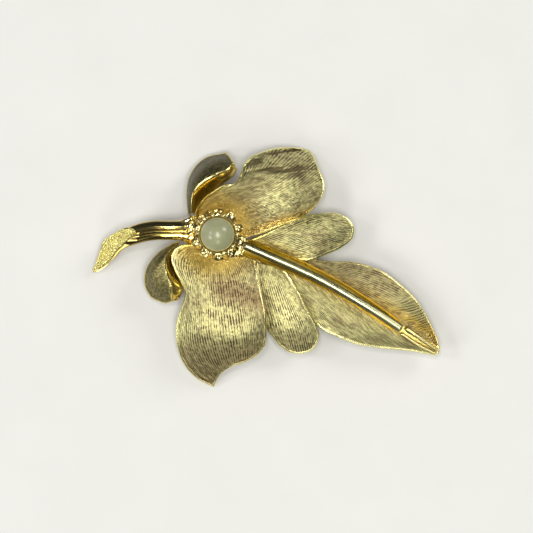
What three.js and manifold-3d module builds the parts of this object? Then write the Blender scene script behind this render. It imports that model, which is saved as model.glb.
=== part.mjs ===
// A gold-plated leaf brooch: seven leaves and a fluted stem round a pearl in a beaded setting,
// with a bar pin, its hinge and a roll-over safety catch along the back.
// Millimetres, Z up. The brooch lies on its back; +X runs towards the tip of the long leaf.
import * as THREE from 'three';
import { mergeVertices } from 'three/addons/utils/BufferGeometryUtils.js';
import Module from 'manifold-3d';

const wasm = await Module();
wasm.setup();

// ---- driving dimensions ----
const pearlRadius = 3;
const pearlZ = 10.15;
const leafThickness = 0.6;
const prongCount = 10;
const prongRingRadius = 3.45;
const beadRadius = 0.42;
const discRadius = 5.2;
const discBottom = 4.15;
const discThickness = 0.6;
const bossRadius = 3.2;
const bossTop = 6.1;
const rosetteRadius = 4.35;
const rosetteThickness = 0.5;
const barTop = 4.1;
const barBottom = 3.45;
const barWidth = 3.2;
const barAngle = -26 * Math.PI / 180; // the bar and the pin run under the midrib
const pinZ = 1.8;
const pinRadius = 0.4;
const hingeAt = -0.6; // distances along the bar from the pearl's axis
const catchAt = 22.4;
const pinTipAt = 24.6;
const gap = 0.05; // faces that lie on each other
const runningGap = 0.15; // faces that move past each other

const parts = new THREE.Group();
parts.name = 'leaf_brooch';

const finishes = {
  satin: { color: 0xd9b64a, roughness: 0.42, metalness: 1 },
  dark: { color: 0xa8924a, roughness: 0.5, metalness: 1 },
  polished: { color: 0xe8c65a, roughness: 0.15, metalness: 1 },
  steel: { color: 0xb9bbbd, roughness: 0.3, metalness: 1 },
  pearl: { color: 0xe9e6d2, roughness: 0.25, metalness: 0 },
};

function add(name, geometry, finish) {
  const mesh = new THREE.Mesh(geometry, new THREE.MeshStandardMaterial({ ...finishes[finish] }));
  mesh.name = name;
  parts.add(mesh);
}

// ---- helpers ----

function solidFrom(geometry) {
  const bare = geometry.clone();
  bare.deleteAttribute('normal');
  bare.deleteAttribute('uv');
  const merged = mergeVertices(bare, 1e-4);
  return new wasm.Manifold(new wasm.Mesh({
    numProp: 3,
    vertProperties: new Float32Array(merged.attributes.position.array),
    triVerts: new Uint32Array(merged.index.array),
  }));
}

function geometryFrom(solid) {
  const mesh = solid.getMesh();
  const geometry = new THREE.BufferGeometry();
  geometry.setAttribute('position', new THREE.BufferAttribute(mesh.vertProperties, 3));
  geometry.setIndex(new THREE.BufferAttribute(mesh.triVerts, 1));
  return geometry;
}

function cutAway(geometry, ...cutters) {
  let solid = solidFrom(geometry);
  for (const cutter of cutters) {
    solid = solid.subtract(solidFrom(cutter));
  }
  return geometryFrom(solid);
}

function joined(...pieces) {
  let solid = solidFrom(pieces[0]);
  for (const piece of pieces.slice(1)) {
    solid = solid.add(solidFrom(piece));
  }
  return geometryFrom(solid);
}

// Turns a closed surface the right way out, whichever way its grid was walked.
function outward(positions, triangles) {
  let volume = 0;
  const a = new THREE.Vector3();
  const b = new THREE.Vector3();
  const c = new THREE.Vector3();
  const kept = [];
  for (let i = 0; i < triangles.length; i += 3) {
    a.fromArray(positions, triangles[i] * 3);
    b.fromArray(positions, triangles[i + 1] * 3);
    c.fromArray(positions, triangles[i + 2] * 3);
    const shortest = Math.min(a.distanceTo(b), b.distanceTo(c), c.distanceTo(a));
    if (shortest > 2e-3) {
      kept.push(triangles[i], triangles[i + 1], triangles[i + 2]);
      volume += a.dot(b.cross(c));
    }
  }
  if (volume < 0) {
    kept.reverse();
  }
  const geometry = new THREE.BufferGeometry();
  geometry.setAttribute('position', new THREE.Float32BufferAttribute(positions, 3));
  geometry.setIndex(kept);
  return mergeVertices(geometry, 1e-3);
}

function smoothLine(points) {
  return new THREE.CatmullRomCurve3(points.map((p) => new THREE.Vector3(...p)), false, 'centripetal');
}

// A leaf lofted across its guide lines: solid from the upper face down by the sheet's thickness.
// Each guide runs from the hub end to the far end of the leaf.
const steepest = 0.6; // on steeper ground the sheet is thinned, so that its wall does not run away
function leaf(guides, across, along, thickness = leafThickness) {
  const lines = guides.map(smoothLine);
  const top = [];
  for (let j = 0; j <= along; j += 1) {
    const stations = lines.map((line) => line.getPointAt(j / along));
    const rib = new THREE.CatmullRomCurve3(stations, false, 'centripetal');
    for (let i = 0; i <= across; i += 1) {
      top.push(rib.getPoint(i / across));
    }
  }
  const row = across + 1;
  const at = (i, j) => top[Math.min(Math.max(j, 0), along) * row + Math.min(Math.max(i, 0), across)];
  const positions = [];
  top.forEach((p) => positions.push(p.x, p.y, p.z));
  for (let j = 0; j <= along; j += 1) {
    for (let i = 0; i <= across; i += 1) {
      const overI = at(i + 1, j).clone().sub(at(i - 1, j));
      const overJ = at(i, j + 1).clone().sub(at(i, j - 1));
      const facing = Math.abs(overI.cross(overJ).normalize().z);
      const drop = thickness / Math.max(facing || 1, steepest);
      const p = at(i, j);
      positions.push(p.x, p.y, p.z - drop);
    }
  }
  const count = top.length;
  const triangles = [];
  const quad = (a, b, c, d) => triangles.push(a, b, c, a, c, d);
  for (let j = 0; j < along; j += 1) {
    for (let i = 0; i < across; i += 1) {
      const k = j * row + i;
      quad(k, k + 1, k + row + 1, k + row);
      quad(count + k, count + k + row, count + k + row + 1, count + k + 1);
    }
  }
  for (let i = 0; i < across; i += 1) {
    const far = along * row + i;
    quad(i, count + i, count + i + 1, i + 1);
    quad(far, far + 1, count + far + 1, count + far);
  }
  for (let j = 0; j < along; j += 1) {
    const near = j * row;
    const away = j * row + across;
    quad(near, near + row, count + near + row, count + near);
    quad(away, count + away, count + away + row, away + row);
  }
  return outward(positions, triangles);
}

// A solid swept along a line: section(t) gives the outline as [sideways, up] pairs.
function swept(points, steps, section) {
  const line = smoothLine(points);
  const positions = [];
  let sides = 0;
  for (let j = 0; j <= steps; j += 1) {
    const t = j / steps;
    const centre = line.getPointAt(t);
    const ahead = line.getTangentAt(t);
    const sideways = new THREE.Vector3(0, 0, 1).cross(ahead).normalize();
    const up = ahead.clone().cross(sideways).normalize();
    const outline = section(t);
    sides = outline.length;
    outline.forEach(([a, b]) => {
      const p = centre.clone().addScaledVector(sideways, a).addScaledVector(up, b);
      positions.push(p.x, p.y, p.z);
    });
  }
  const triangles = [];
  for (let j = 0; j < steps; j += 1) {
    for (let i = 0; i < sides; i += 1) {
      const a = j * sides + i;
      const b = j * sides + (i + 1) % sides;
      triangles.push(a, b, b + sides, a, b + sides, a + sides);
    }
  }
  for (let i = 1; i < sides - 1; i += 1) {
    const far = steps * sides;
    triangles.push(0, i + 1, i);
    triangles.push(far, far + i, far + i + 1);
  }
  return outward(positions, triangles);
}

function roundSection(radius, sides) {
  return Array.from({ length: sides }, (_, i) => {
    const angle = i / sides * 2 * Math.PI;
    return [radius * Math.cos(angle), radius * Math.sin(angle)];
  });
}

function turned(profile, sides) {
  const outline = profile.map(([r, z]) => new THREE.Vector2(r, z));
  return new THREE.LatheGeometry(outline, sides).rotateX(Math.PI / 2);
}

// Geometry drawn with X along the bar is swung under the midrib.
function alongBar(geometry) {
  return geometry.rotateZ(barAngle);
}

function block(x0, x1, y0, y1, z0, z1) {
  const box = new THREE.BoxGeometry(x1 - x0, y1 - y0, z1 - z0);
  return box.translate((x0 + x1) / 2, (y0 + y1) / 2, (z0 + z1) / 2);
}

// A round bar along X.
function barX(radius, x0, x1, z, sides = 24) {
  const cylinder = new THREE.CylinderGeometry(radius, radius, x1 - x0, sides);
  return cylinder.rotateZ(Math.PI / 2).translate((x0 + x1) / 2, 0, z);
}

// A round bar along Y, centred on the bar's own line.
function barY(radius, length, x, z, sides = 24) {
  const cylinder = new THREE.CylinderGeometry(radius, radius, length, sides);
  return cylinder.translate(x, 0, z);
}

// ---- leaves: guide lines from one edge across to the other ----

add('upper_sepal', leaf([
  [
    [-5.2, 3.5, 5.4], [-5.4, 5.2, 4.6], [-5.5, 7.3, 3.8], [-5.1, 9.9, 3], [-3.8, 12.2, 2.4],
    [-1.8, 13.7, 2.2], [1.5, 14.4, 2.4],
  ],
  [[-4.9, 3.7, 5.9], [-5, 6.2, 6.2], [-4.4, 9, 6.4], [-2.6, 11.2, 6.4], [0.1, 12.6, 6], [2.2, 13.7, 4.2]],
  [
    [-4.7, 3.8, 6.1], [-4.6, 5.2, 6.8], [-4.3, 7.1, 7.3], [-3.4, 8.6, 7.6], [-1.8, 9.8, 7.7],
    [-0.2, 10.5, 7.5], [1.7, 11.3, 7], [2.8, 12.6, 5.8],
  ],
  [
    [-4.4, 3.9, 5.5], [-4.1, 5.1, 5.7], [-2.9, 6.9, 6], [-0.9, 8.5, 6.2], [0.9, 9.6, 6.2],
    [2.2, 10.6, 6], [3.1, 11.7, 5.4],
  ],
  [
    [-4.1, 3.8, 5.1], [-3.6, 4.9, 5.2], [-2.4, 6.5, 5.4], [-0.5, 8, 5.5], [1.2, 9.2, 5.5],
    [2.5, 10.2, 5.4], [3.3, 11.5, 5.1],
  ],
], 14, 14), 'dark');

add('lower_sepal', leaf([
  [
    [-6.7, -1.2, 4.9], [-8.3, -1.8, 4.8], [-10.1, -2.9, 4.4], [-11.6, -4.4, 3.9], [-12.7, -6.4, 3.2],
    [-12.9, -8.6, 2.6], [-11.8, -10.9, 2.3], [-9.9, -11.9, 2.3],
  ],
  [
    [-6.9, -1.6, 5.1], [-9.0, -3.1, 6.0], [-10.7, -5.3, 6.2], [-11.1, -8.0, 5.6], [-10.2, -10.4, 4.2],
    [-9.1, -12.0, 2.7],
  ],
  [
    [-7.1, -1.9, 5.2], [-8.6, -3.1, 6.1], [-9.2, -4.7, 6.5], [-8.9, -6.5, 6.4], [-8.3, -8.2, 5.9],
    [-8.2, -10.0, 4.7], [-8.1, -11.7, 2.9],
  ],
  [
    [-7.1, -2.3, 4.9], [-8.3, -3.6, 5.1], [-8.5, -4.9, 5.2], [-7.9, -6.7, 5.2], [-7.0, -8.5, 5.0],
    [-6.8, -10.0, 4.4], [-7.3, -11.5, 3.1],
  ],
  [
    [-6.9, -2.6, 4.7], [-7.6, -3.8, 4.7], [-7.7, -5.0, 4.7], [-7.1, -6.9, 4.7], [-6.4, -8.6, 4.6],
    [-6.3, -10.0, 4.2], [-6.9, -11.3, 3.2],
  ],
], 14, 12), 'dark');

add('upper_lobe', leaf([
  [
    [-3.8, 2.7, 5.9], [-3.8, 4.1, 6.6], [-2.5, 6.1, 7.2], [-0.6, 7.6, 7.6], [1.1, 8.6, 7.7],
    [3.2, 8.9, 7.4], [4.1, 10.6, 6.6], [4.6, 12.2, 5.6], [6, 13.8, 4.4],
  ],
  [
    [-2.7, 3.7, 5.8], [0.2, 6.4, 7.1], [3.5, 8.2, 7.9], [6.8, 10.5, 7.6], [8.6, 12.6, 6.3],
    [10.4, 15.2, 3.4],
  ],
  [[-0.1, 4.5, 5.8], [4, 6.2, 7.2], [9, 9, 8.1], [13, 12.2, 6.5], [16.1, 14.7, 1]],
  [[1.6, 4.1, 5.8], [7, 5.6, 7.3], [13, 8.2, 7.8], [17.6, 11.8, 3.2]],
  [[3, 2.6, 5.8], [8, 3.8, 7.2], [14, 6.1, 7.4], [18.7, 8.8, 4.2]],
  [[3.8, 0.8, 5.8], [8, 2, 6.9], [13, 4, 7.2], [18.2, 6.5, 4.9]],
  [[4.3, -0.6, 5.9], [7.8, 0.4, 6.6], [11.5, 1.8, 6.9], [14.8, 3.1, 6.5], [16.9, 4.7, 5.6]],
], 18, 14), 'satin');

add('upper_side_lobe', leaf([
  [
    [5.8, -1.0, 5.25], [8.8, 0.4, 5.3], [12.3, 2.0, 5.3], [15.3, 3.2, 5.1], [18.0, 3.7, 4.6],
    [20.7, 3.8, 4.0],
  ],
  [[7.5, -1.9, 5.5], [11.5, -0.6, 6.2], [15.5, 1.0, 6.4], [19.5, 2.3, 5.8], [22.8, 2.9, 3.9]],
  [[9.4, -2.7, 5.6], [13.3, -1.6, 6.5], [17.0, -0.3, 6.6], [20.5, 0.9, 5.6], [23.9, 1.2, 3.8]],
  [[11.2, -3.5, 5.6], [14.5, -3.1, 6.1], [17.6, -2.0, 6.1], [20.5, -0.9, 5.3], [23.6, -0.6, 3.8]],
  [
    [12.6, -4.2, 5.6], [15.3, -4.5, 5.7], [16.9, -4.3, 5.5], [18.8, -3.5, 4.9], [21.4, -2.4, 4.3],
    [22.9, -1.4, 3.9],
  ],
], 12, 10), 'satin');

add('tip_blade', leaf([
  [
    [17.2, -4.5, 4.75], [20.2, -4.8, 4.6], [23.2, -4.8, 4.4], [26.4, -5.5, 4.2], [29.3, -6.7, 3.9],
    [32.1, -8.8, 3.5], [34.8, -11.4, 3.2], [36.8, -14.5, 3], [38.8, -18.9, 3.3],
  ],
  [
    [15, -4.2, 4.8], [20.3, -5.9, 5.5], [25.3, -7.7, 5.7], [30.2, -10.8, 5.2], [34.6, -14.8, 4.3],
    [38.8, -19.3, 3.4],
  ],
  [
    [13, -4.2, 4.8], [18.8, -6.9, 5.15], [23.5, -9.2, 5.1], [28, -12.1, 4.9], [32.6, -15.5, 4.4],
    [38.9, -19.7, 3.4],
  ],
  [
    [11.9, -5.1, 4.8], [18.6, -7.9, 4.95], [23, -10.3, 4.95], [27.4, -13, 4.8], [32, -16.4, 4.3],
    [38.9, -20.3, 3.4],
  ],
  [
    [12, -6.4, 4.8], [18.2, -9.2, 5.15], [22.6, -11.6, 5.1], [27, -14.3, 4.85], [31.5, -17.4, 4.3],
    [38.8, -20.7, 3.3],
  ],
  [
    [14, -10.1, 4.75], [18.1, -12.5, 5.6], [22.5, -14.8, 5.7], [27, -16.9, 5], [32, -18.7, 4.1],
    [38.6, -20.95, 3.2],
  ],
  [
    [16.9, -15.1, 4.3], [18.4, -16.6, 4.3], [20.9, -17.8, 4.1], [24.6, -19.2, 3.8], [29, -19.9, 3.5],
    [33.3, -20.3, 3.2], [38.4, -21.2, 3],
  ],
], 18, 16), 'satin');

add('lower_side_lobe', leaf([
  [
    [6.8, -4.9, 4.95], [6.9, -7.4, 5], [7.5, -10.6, 4.9], [8.1, -13.9, 4.7], [8.8, -16.6, 4.3],
    [10.7, -19.3, 3.7],
  ],
  [[8.2, -5.2, 5.3], [9.1, -9, 5.8], [10.2, -13, 6], [11.5, -16.8, 5.6], [12.7, -20.6, 3.6]],
  [[9.6, -5.6, 5.5], [11.2, -9.2, 6.1], [12.6, -13, 6.4], [13.9, -16.6, 5.9], [15, -20.8, 3.6]],
  [[10.7, -5.9, 5.6], [12.8, -9.6, 6], [14.6, -13.2, 6.1], [16.1, -16.6, 5.4], [16.9, -19.9, 3.7]],
  [
    [11.6, -6.2, 5.6], [12.7, -7.6, 5.7], [14.3, -10.3, 5.7], [15.8, -13.4, 5.5], [17.1, -15.5, 5.1],
    [17.7, -17.2, 4.6], [17.7, -18.4, 4.1],
  ],
], 12, 10), 'satin');

add('lower_lobe', leaf([
  [
    [-4.2, -1.7, 5.8], [-6.2, -1.9, 6.1], [-7.6, -2.7, 6.2], [-8.1, -4.3, 6.2], [-7.4, -6.4, 6.1],
    [-6.4, -8.4, 5.9], [-5.6, -10, 5.5], [-6.3, -12.7, 4.6], [-7.1, -15, 3.9], [-7.3, -18.1, 3.1],
    [-6.2, -22.2, 1.9], [-3.8, -25.1, 1.1], [-0.8, -26.7, 0.6],
  ],
  [
    [-3.4, -2.6, 5.8], [-4.8, -5.5, 6.7], [-4.2, -9.5, 7], [-4.6, -13.5, 6.5], [-5, -18, 5.2],
    [-4, -21.8, 3.6], [-0.5, -26, 0.9],
  ],
  [
    [-2.2, -3.4, 5.8], [-2.5, -7, 7], [-2.2, -12, 7.7], [-2.2, -17, 7.1], [-1, -21.5, 5],
    [0.5, -24.5, 2.4],
  ],
  [[0, -4.1, 5.8], [0.2, -8, 7], [0.8, -13, 7.8], [1.4, -18, 7.4], [2.5, -23.1, 3.8]],
  [[2, -4, 5.8], [3.4, -8, 7], [4.2, -13, 7.8], [4.9, -18, 7.1], [5.1, -22.2, 4.2]],
  [[4.2, -3.8, 5.8], [5.7, -7.6, 6.7], [6.5, -12, 7.3], [7.1, -16.5, 6.7], [7.1, -20.9, 4.5]],
  [
    [6.6, -4.5, 5.8], [7, -7.3, 6.4], [7.6, -10.2, 6.8], [8.3, -13.4, 6.7], [8.5, -16.4, 6],
    [8.3, -19.4, 4.7],
  ],
], 18, 16), 'satin');

// ---- stem: a fluted bar that droops to the bench and is cut off on the slant ----

const stemLine = [
  [-4.3, 0.9, 5.1], [-8, 0.75, 5.15], [-11, 0.75, 5], [-13.2, 0.4, 4.7], [-14.9, -0.15, 4.3],
  [-16.3, -0.6, 3.85], [-17.8, -1.5, 3.2], [-19.3, -3.3, 2.3], [-20.5, -5, 1.3], [-21.6, -6.3, 0.45],
];
const stemHalfWidths = [1.95, 1.72, 1.66, 1.72, 1.72, 1.66, 1.6, 1.5, 1.1, 0.4];
const stemHalfHeights = [1.15, 1.15, 1.15, 1.15, 1.12, 1.08, 1, 0.9, 0.7, 0.4];
const stemSides = 24;
const stemUnderside = 0.9; // the underside is a little flatter than the top
const fluteCount = 6;
const fluteDepth = 0.05;

// Reads a list of evenly spaced values at t from 0 to 1.
function valueAt(list, t) {
  const place = Math.min(t, 1) * (list.length - 1);
  const near = Math.min(Math.floor(place), list.length - 2);
  return list[near] + (list[near + 1] - list[near]) * (place - near);
}

function stemSection(t) {
  const halfWidth = valueAt(stemHalfWidths, t);
  const halfHeight = valueAt(stemHalfHeights, t);
  return Array.from({ length: stemSides }, (_, i) => {
    const angle = i / stemSides * 2 * Math.PI;
    const onTop = Math.sin(angle) > 0;
    const upper = onTop ? 1 : stemUnderside;
    const flute = onTop ? 1 + fluteDepth * Math.cos(angle * fluteCount * 2) : 1;
    return [halfWidth * flute * Math.cos(angle), halfHeight * upper * flute * Math.sin(angle)];
  });
}

// The slanting cut is the plane z = cutBase + cutX x + cutY y; the stem stops a little below it.
const cutBase = 12.56;
const cutX = 0.485;
const cutY = 0.209;
const cutClearance = 0.28;
const onCut = (x, y, lift) => new THREE.Vector3(x, y, cutBase + cutX * x + cutY * y + lift);
const cutNormal = new THREE.Vector3(-cutX, -cutY, 1).normalize();
const cutFall = new THREE.Vector3(-cutX, -cutY, -(cutX ** 2 + cutY ** 2)).normalize();
const acrossFace = cutNormal.clone().cross(cutFall).normalize();
const cutMiddle = onCut(-18, -3, -cutClearance);
const faceFrame = new THREE.Matrix4().makeBasis(cutFall, acrossFace, cutNormal).setPosition(cutMiddle);

const rawStem = swept(stemLine, 20, stemSection);
const slice = block(-14, 14, -8, 8, 0, 12).applyMatrix4(faceFrame);
const discTop = discBottom + discThickness;
const roomRadius = discRadius + 0.3;
const roomTop = discTop + 0.1;
const discRoom = turned([[0, 0], [roomRadius, 0], [roomRadius, roomTop], [0, roomTop]], 48);
add('stem', cutAway(rawStem, slice, discRoom), 'polished');

// The stippled plate that closes the cut, lofted between its outer and inner edges.
const endThickness = 0.45;
const endLift = 0.3;
const endCrown = 0.22;
const endOuter = [
  [-14.7, 0.9], [-15.5, 1.2], [-16.6, 1.05], [-17.7, 0.45], [-18.8, -0.25],
  [-19.9, -0.9], [-20.4, -1.7], [-20.7, -2.8], [-21.3, -4.5], [-22.1, -6.5],
];
const endInner = [
  [-14.45, 0.45], [-14.9, -0.1], [-16, -1.05], [-17.1, -2.2], [-18.1, -3.1],
  [-18.7, -4], [-19.7, -5.2], [-20.9, -6.05], [-22, -6.6],
];
const endStations = 12;
const endEdge = (points) => new THREE.CatmullRomCurve3(
  points.map(([x, y]) => onCut(x, y, endLift)),
  false,
  'centripetal',
).getSpacedPoints(endStations - 1);
const outerEdge = endEdge(endOuter);
const innerEdge = endEdge(endInner);
const endGuides = [0, 0.5, 1].map((share) => outerEdge.map((p, i) => {
  const q = p.clone().lerp(innerEdge[i], share);
  q.z += endCrown * Math.sin(Math.PI * share);
  return q.toArray();
}));
add('stem_end_plate', leaf(endGuides, 6, 18, endThickness), 'satin');

// ---- midrib: a flanged strip with a round rod lying on it, and two veins beyond the rod ----

const rodRadius = 0.74;
const stripThickness = 0.4;
const stripHalfWidths = [1.55, 1.15];
const stripDish = 0.08;
const stripLine = [
  [4.9, -2.2, 6.35], [9.2, -3.8, 6.25], [14.4, -5.95, 6.1], [18.8, -8.1, 6],
  [23.2, -10.55, 5.9], [27.6, -13.35, 5.6], [31.3, -15.95, 5.05],
];
const rodLine = [
  [4.5, -1.8, 7.3], [9.2, -3.85, 7.25], [14.4, -6.15, 7.1], [18.6, -8.2, 7],
  [23.2, -10.85, 6.9], [27.8, -13.65, 6.6], [32.3, -16.6, 6.05],
];

function stripSection(t) {
  const half = valueAt(stripHalfWidths, t);
  const inner = half * 0.55;
  const low = -stripThickness / 2;
  const high = stripThickness / 2;
  const dished = high - stripDish;
  return [[half, low], [half, high], [inner, dished], [-inner, dished], [-half, high], [-half, low]];
}

add('midrib_channel', swept(stripLine, 16, stripSection), 'polished');
add('midrib_rod', swept(rodLine, 18, () => roundSection(rodRadius, 14)), 'polished');

const veins = {
  tip_vein_upper: {
    line: [[32.9, -16.4, 5.1], [35.8, -18.4, 4.65], [38.7, -20.3, 3.9]], halfWidth: 0.4, height: 0.52,
  },
  tip_vein_lower: {
    line: [[32.1, -17.35, 4.98], [35.1, -19.4, 4.47], [38.3, -20.95, 3.8]], halfWidth: 0.32, height: 0.4,
  },
};

function veinSection(halfWidth, height) {
  return (t) => {
    const narrow = 1 - 0.35 * t;
    return Array.from({ length: 9 }, (_, i) => {
      const angle = i / 8 * Math.PI;
      return [halfWidth * narrow * Math.cos(angle), height * narrow * Math.sin(angle)];
    });
  };
}

for (const [name, { line, halfWidth, height }] of Object.entries(veins)) {
  add(name, swept(line, 6, veinSection(halfWidth, height)), 'polished');
}

// ---- hub: backing disc, calyx, beaded setting and pearl ----

const pegRadius = 0.4;
const pegHole = 0.47;
const discProfile = [
  [0, discBottom], [discRadius, discBottom], [discRadius, discTop],
  [bossRadius, discTop], [bossRadius, bossTop], [0, bossTop],
];
add('hub_disc', turned(discProfile, 36), 'polished');

const rosetteBottom = bossTop + gap;
const rosetteTop = rosetteBottom + rosetteThickness;
const petalPhase = 16 * Math.PI / 180;
const petalSteps = prongCount * 8;
const scallops = new THREE.Shape();
for (let i = 0; i < petalSteps; i += 1) {
  const angle = i / petalSteps * 2 * Math.PI;
  const bulge = Math.abs(Math.cos((angle + petalPhase) * prongCount / 2));
  const radius = rosetteRadius - 0.55 + 0.75 * bulge;
  const corner = [radius * Math.cos(angle), radius * Math.sin(angle)];
  if (i === 0) {
    scallops.moveTo(...corner);
  } else {
    scallops.lineTo(...corner);
  }
}
const rosettePlate = new THREE.ExtrudeGeometry(scallops, { depth: rosetteThickness, bevelEnabled: false });
rosettePlate.translate(0, 0, rosetteBottom);
const pegRoom = new THREE.CylinderGeometry(pegHole, pegHole, 4, 16).rotateX(Math.PI / 2);
pegRoom.translate(0, 0, rosetteTop);
add('calyx_rosette', cutAway(rosettePlate, pegRoom), 'polished');

const crownBottom = rosetteTop + gap;
const crownTop = crownBottom + 2.2;
const firstProng = -2;
const postHeight = 2.4;
const postBelowPearl = 1.3;
const crownProfile = [
  [0, crownBottom], [2.6, crownBottom], [3.15, crownBottom + 1.4], [3.45, crownTop], [0, crownTop],
];
let crown = turned(crownProfile, 30);
for (let i = 0; i < prongCount; i += 1) {
  const angle = (firstProng + i * 360 / prongCount) * Math.PI / 180;
  const post = new THREE.CylinderGeometry(0.3, 0.42, postHeight, 6).rotateX(Math.PI / 2);
  post.translate(prongRingRadius, 0, pearlZ - postBelowPearl);
  const bead = new THREE.SphereGeometry(beadRadius, 8, 6).rotateX(Math.PI / 2);
  bead.translate(prongRingRadius, 0, pearlZ);
  crown = joined(crown, post.rotateZ(angle), bead.rotateZ(angle));
}
const pearlRoom = new THREE.SphereGeometry(pearlRadius + 0.1, 20, 14).rotateX(Math.PI / 2);
pearlRoom.translate(0, 0, pearlZ);
add('prong_crown', cutAway(crown, pearlRoom, pegRoom), 'polished');

const pegTop = pearlZ - 0.6;
const drillDepth = 3;
const ball = new THREE.SphereGeometry(pearlRadius, 24, 16).rotateX(Math.PI / 2).translate(0, 0, pearlZ);
const drill = new THREE.CylinderGeometry(pegHole, pegHole, drillDepth, 16).rotateX(Math.PI / 2);
drill.translate(0, 0, pegTop + gap - drillDepth / 2);
add('pearl', cutAway(ball, drill), 'pearl');
const pegBottom = bossTop + gap;
const peg = new THREE.CylinderGeometry(pegRadius, pegRadius, pegTop - pegBottom, 16).rotateX(Math.PI / 2);
add('pearl_peg', peg.translate(0, 0, (pegTop + pegBottom) / 2), 'steel');

// ---- back: bar, pin hinge, pin and roll-over catch, drawn with X along the bar ----

const barStart = -3.4;
const barEnd = 29.5;
const landStart = 26.2;
const landDrop = 0.1;
const barMiddle = block(barStart, landStart + 0.5, -barWidth / 2, barWidth / 2, barBottom, barTop);
const barLand = joined(
  block(landStart, barEnd - barWidth / 2, -barWidth / 2, barWidth / 2, barBottom - landDrop, barTop),
  new THREE.CylinderGeometry(barWidth / 2, barWidth / 2, barTop - barBottom + landDrop, 24)
    .rotateX(Math.PI / 2)
    .translate(barEnd - barWidth / 2, 0, (barTop + barBottom - landDrop) / 2),
);
add('pin_bar', alongBar(joined(barMiddle, barLand)), 'polished');

const earInside = 0.75;
const earThickness = 0.5;
const earOutside = earInside + earThickness;
const rivetRadius = 0.4;
const bracketTop = barBottom - gap;
const ears = joined(
  block(hingeAt - 1.3, hingeAt + 1.3, -earOutside, earOutside, bracketTop - 0.45, bracketTop),
  block(hingeAt - 0.9, hingeAt + 0.9, -earOutside, -earInside, pinZ, bracketTop),
  block(hingeAt - 0.9, hingeAt + 0.9, earInside, earOutside, pinZ, bracketTop),
  barY(0.9, 2 * earOutside, hingeAt, pinZ),
);
const eyeRoom = barY(1.15, 2 * earInside, hingeAt, pinZ, 32);
const eyeSlot = block(hingeAt - 2, hingeAt + 2, -earInside, earInside, pinZ - 2, pinZ + 0.6);
const rivetHole = barY(rivetRadius + 0.07, 4, hingeAt, pinZ);
add('hinge_bracket', alongBar(cutAway(ears, eyeRoom, eyeSlot, rivetHole)), 'polished');

const rivetHead = 0.25;
const headRadius = 0.65;
const headAt = earOutside + gap + rivetHead / 2;
const rivet = joined(
  barY(rivetRadius, 2 * earOutside + 0.2, hingeAt, pinZ),
  barY(headRadius, rivetHead, hingeAt, pinZ).translate(0, headAt, 0),
  barY(headRadius, rivetHead, hingeAt, pinZ).translate(0, -headAt, 0),
);
add('hinge_rivet', alongBar(rivet), 'steel');

const eyeRadius = 0.95;
const eyeHalfWidth = earInside - runningGap;
const pointLength = 2.2;
const pointRadius = 0.08;
const pinShaft = barX(pinRadius, hingeAt + 0.6, pinTipAt - pointLength, pinZ, 14);
const pinPoint = new THREE.CylinderGeometry(pointRadius, pinRadius, pointLength, 14).rotateZ(-Math.PI / 2);
pinPoint.translate(pinTipAt - pointLength / 2, 0, pinZ);
const pin = cutAway(
  joined(barY(eyeRadius, 2 * eyeHalfWidth, hingeAt, pinZ), pinShaft, pinPoint),
  barY(rivetRadius + runningGap, 4, hingeAt, pinZ),
);
add('pin_stem', alongBar(pin), 'steel');

const shellOuter = 1.55;
const shellInner = 1.2;
const shellHalfLength = 1.2;
const rollerOuter = 1.04;
const rollerInner = 0.66;
const rollerHalfLength = 0.95;
const tabHalfWidth = 0.3;
const tabReach = 2.05;
const shellMouth = 0.75;
const rollerMouth = 0.58;

function tube(outer, inner, halfLength, mouth) {
  return cutAway(
    barX(outer, catchAt - halfLength, catchAt + halfLength, pinZ, 32),
    barX(inner, catchAt - 3, catchAt + 3, pinZ, 32),
    block(catchAt - 3, catchAt + 3, -mouth, mouth, pinZ - 3, pinZ),
  );
}

// The shell's slot lets the thumb tab swing 110 degrees down one side; end walls keep the roller in.
const tabSlot = block(catchAt - 0.5, catchAt + 0.5, 0, 3, pinZ - 3, pinZ + 1.22);
const shell = cutAway(
  joined(
    tube(shellOuter, shellInner, shellHalfLength, shellMouth),
    block(catchAt - shellHalfLength, catchAt + shellHalfLength, -0.9, 0.9, pinZ + 1.3, barBottom - gap),
    tube(shellOuter, 0.85, shellHalfLength, shellMouth),
  ),
  barX(shellInner, catchAt - rollerHalfLength - 0.1, catchAt + rollerHalfLength + 0.1, pinZ, 32),
  tabSlot,
);
add('catch_housing', alongBar(shell), 'polished');

const tabAngle = -53 * Math.PI / 180;
const tab = block(catchAt - tabHalfWidth, catchAt + tabHalfWidth, rollerOuter - 0.25, tabReach, -0.22, 0.22);
tab.translate(-catchAt, 0, 0).rotateX(tabAngle).translate(catchAt, 0, pinZ);
const roller = joined(tube(rollerOuter, rollerInner, rollerHalfLength, rollerMouth), tab);
add('lock_roller', alongBar(roller), 'polished');

// ---- stand the brooch on the ground plane, centred ----

const box = new THREE.Box3().setFromObject(parts);
parts.position.set(-(box.min.x + box.max.x) / 2, -(box.min.y + box.max.y) / 2, -box.min.z);

export default parts;
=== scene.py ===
import math

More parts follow.
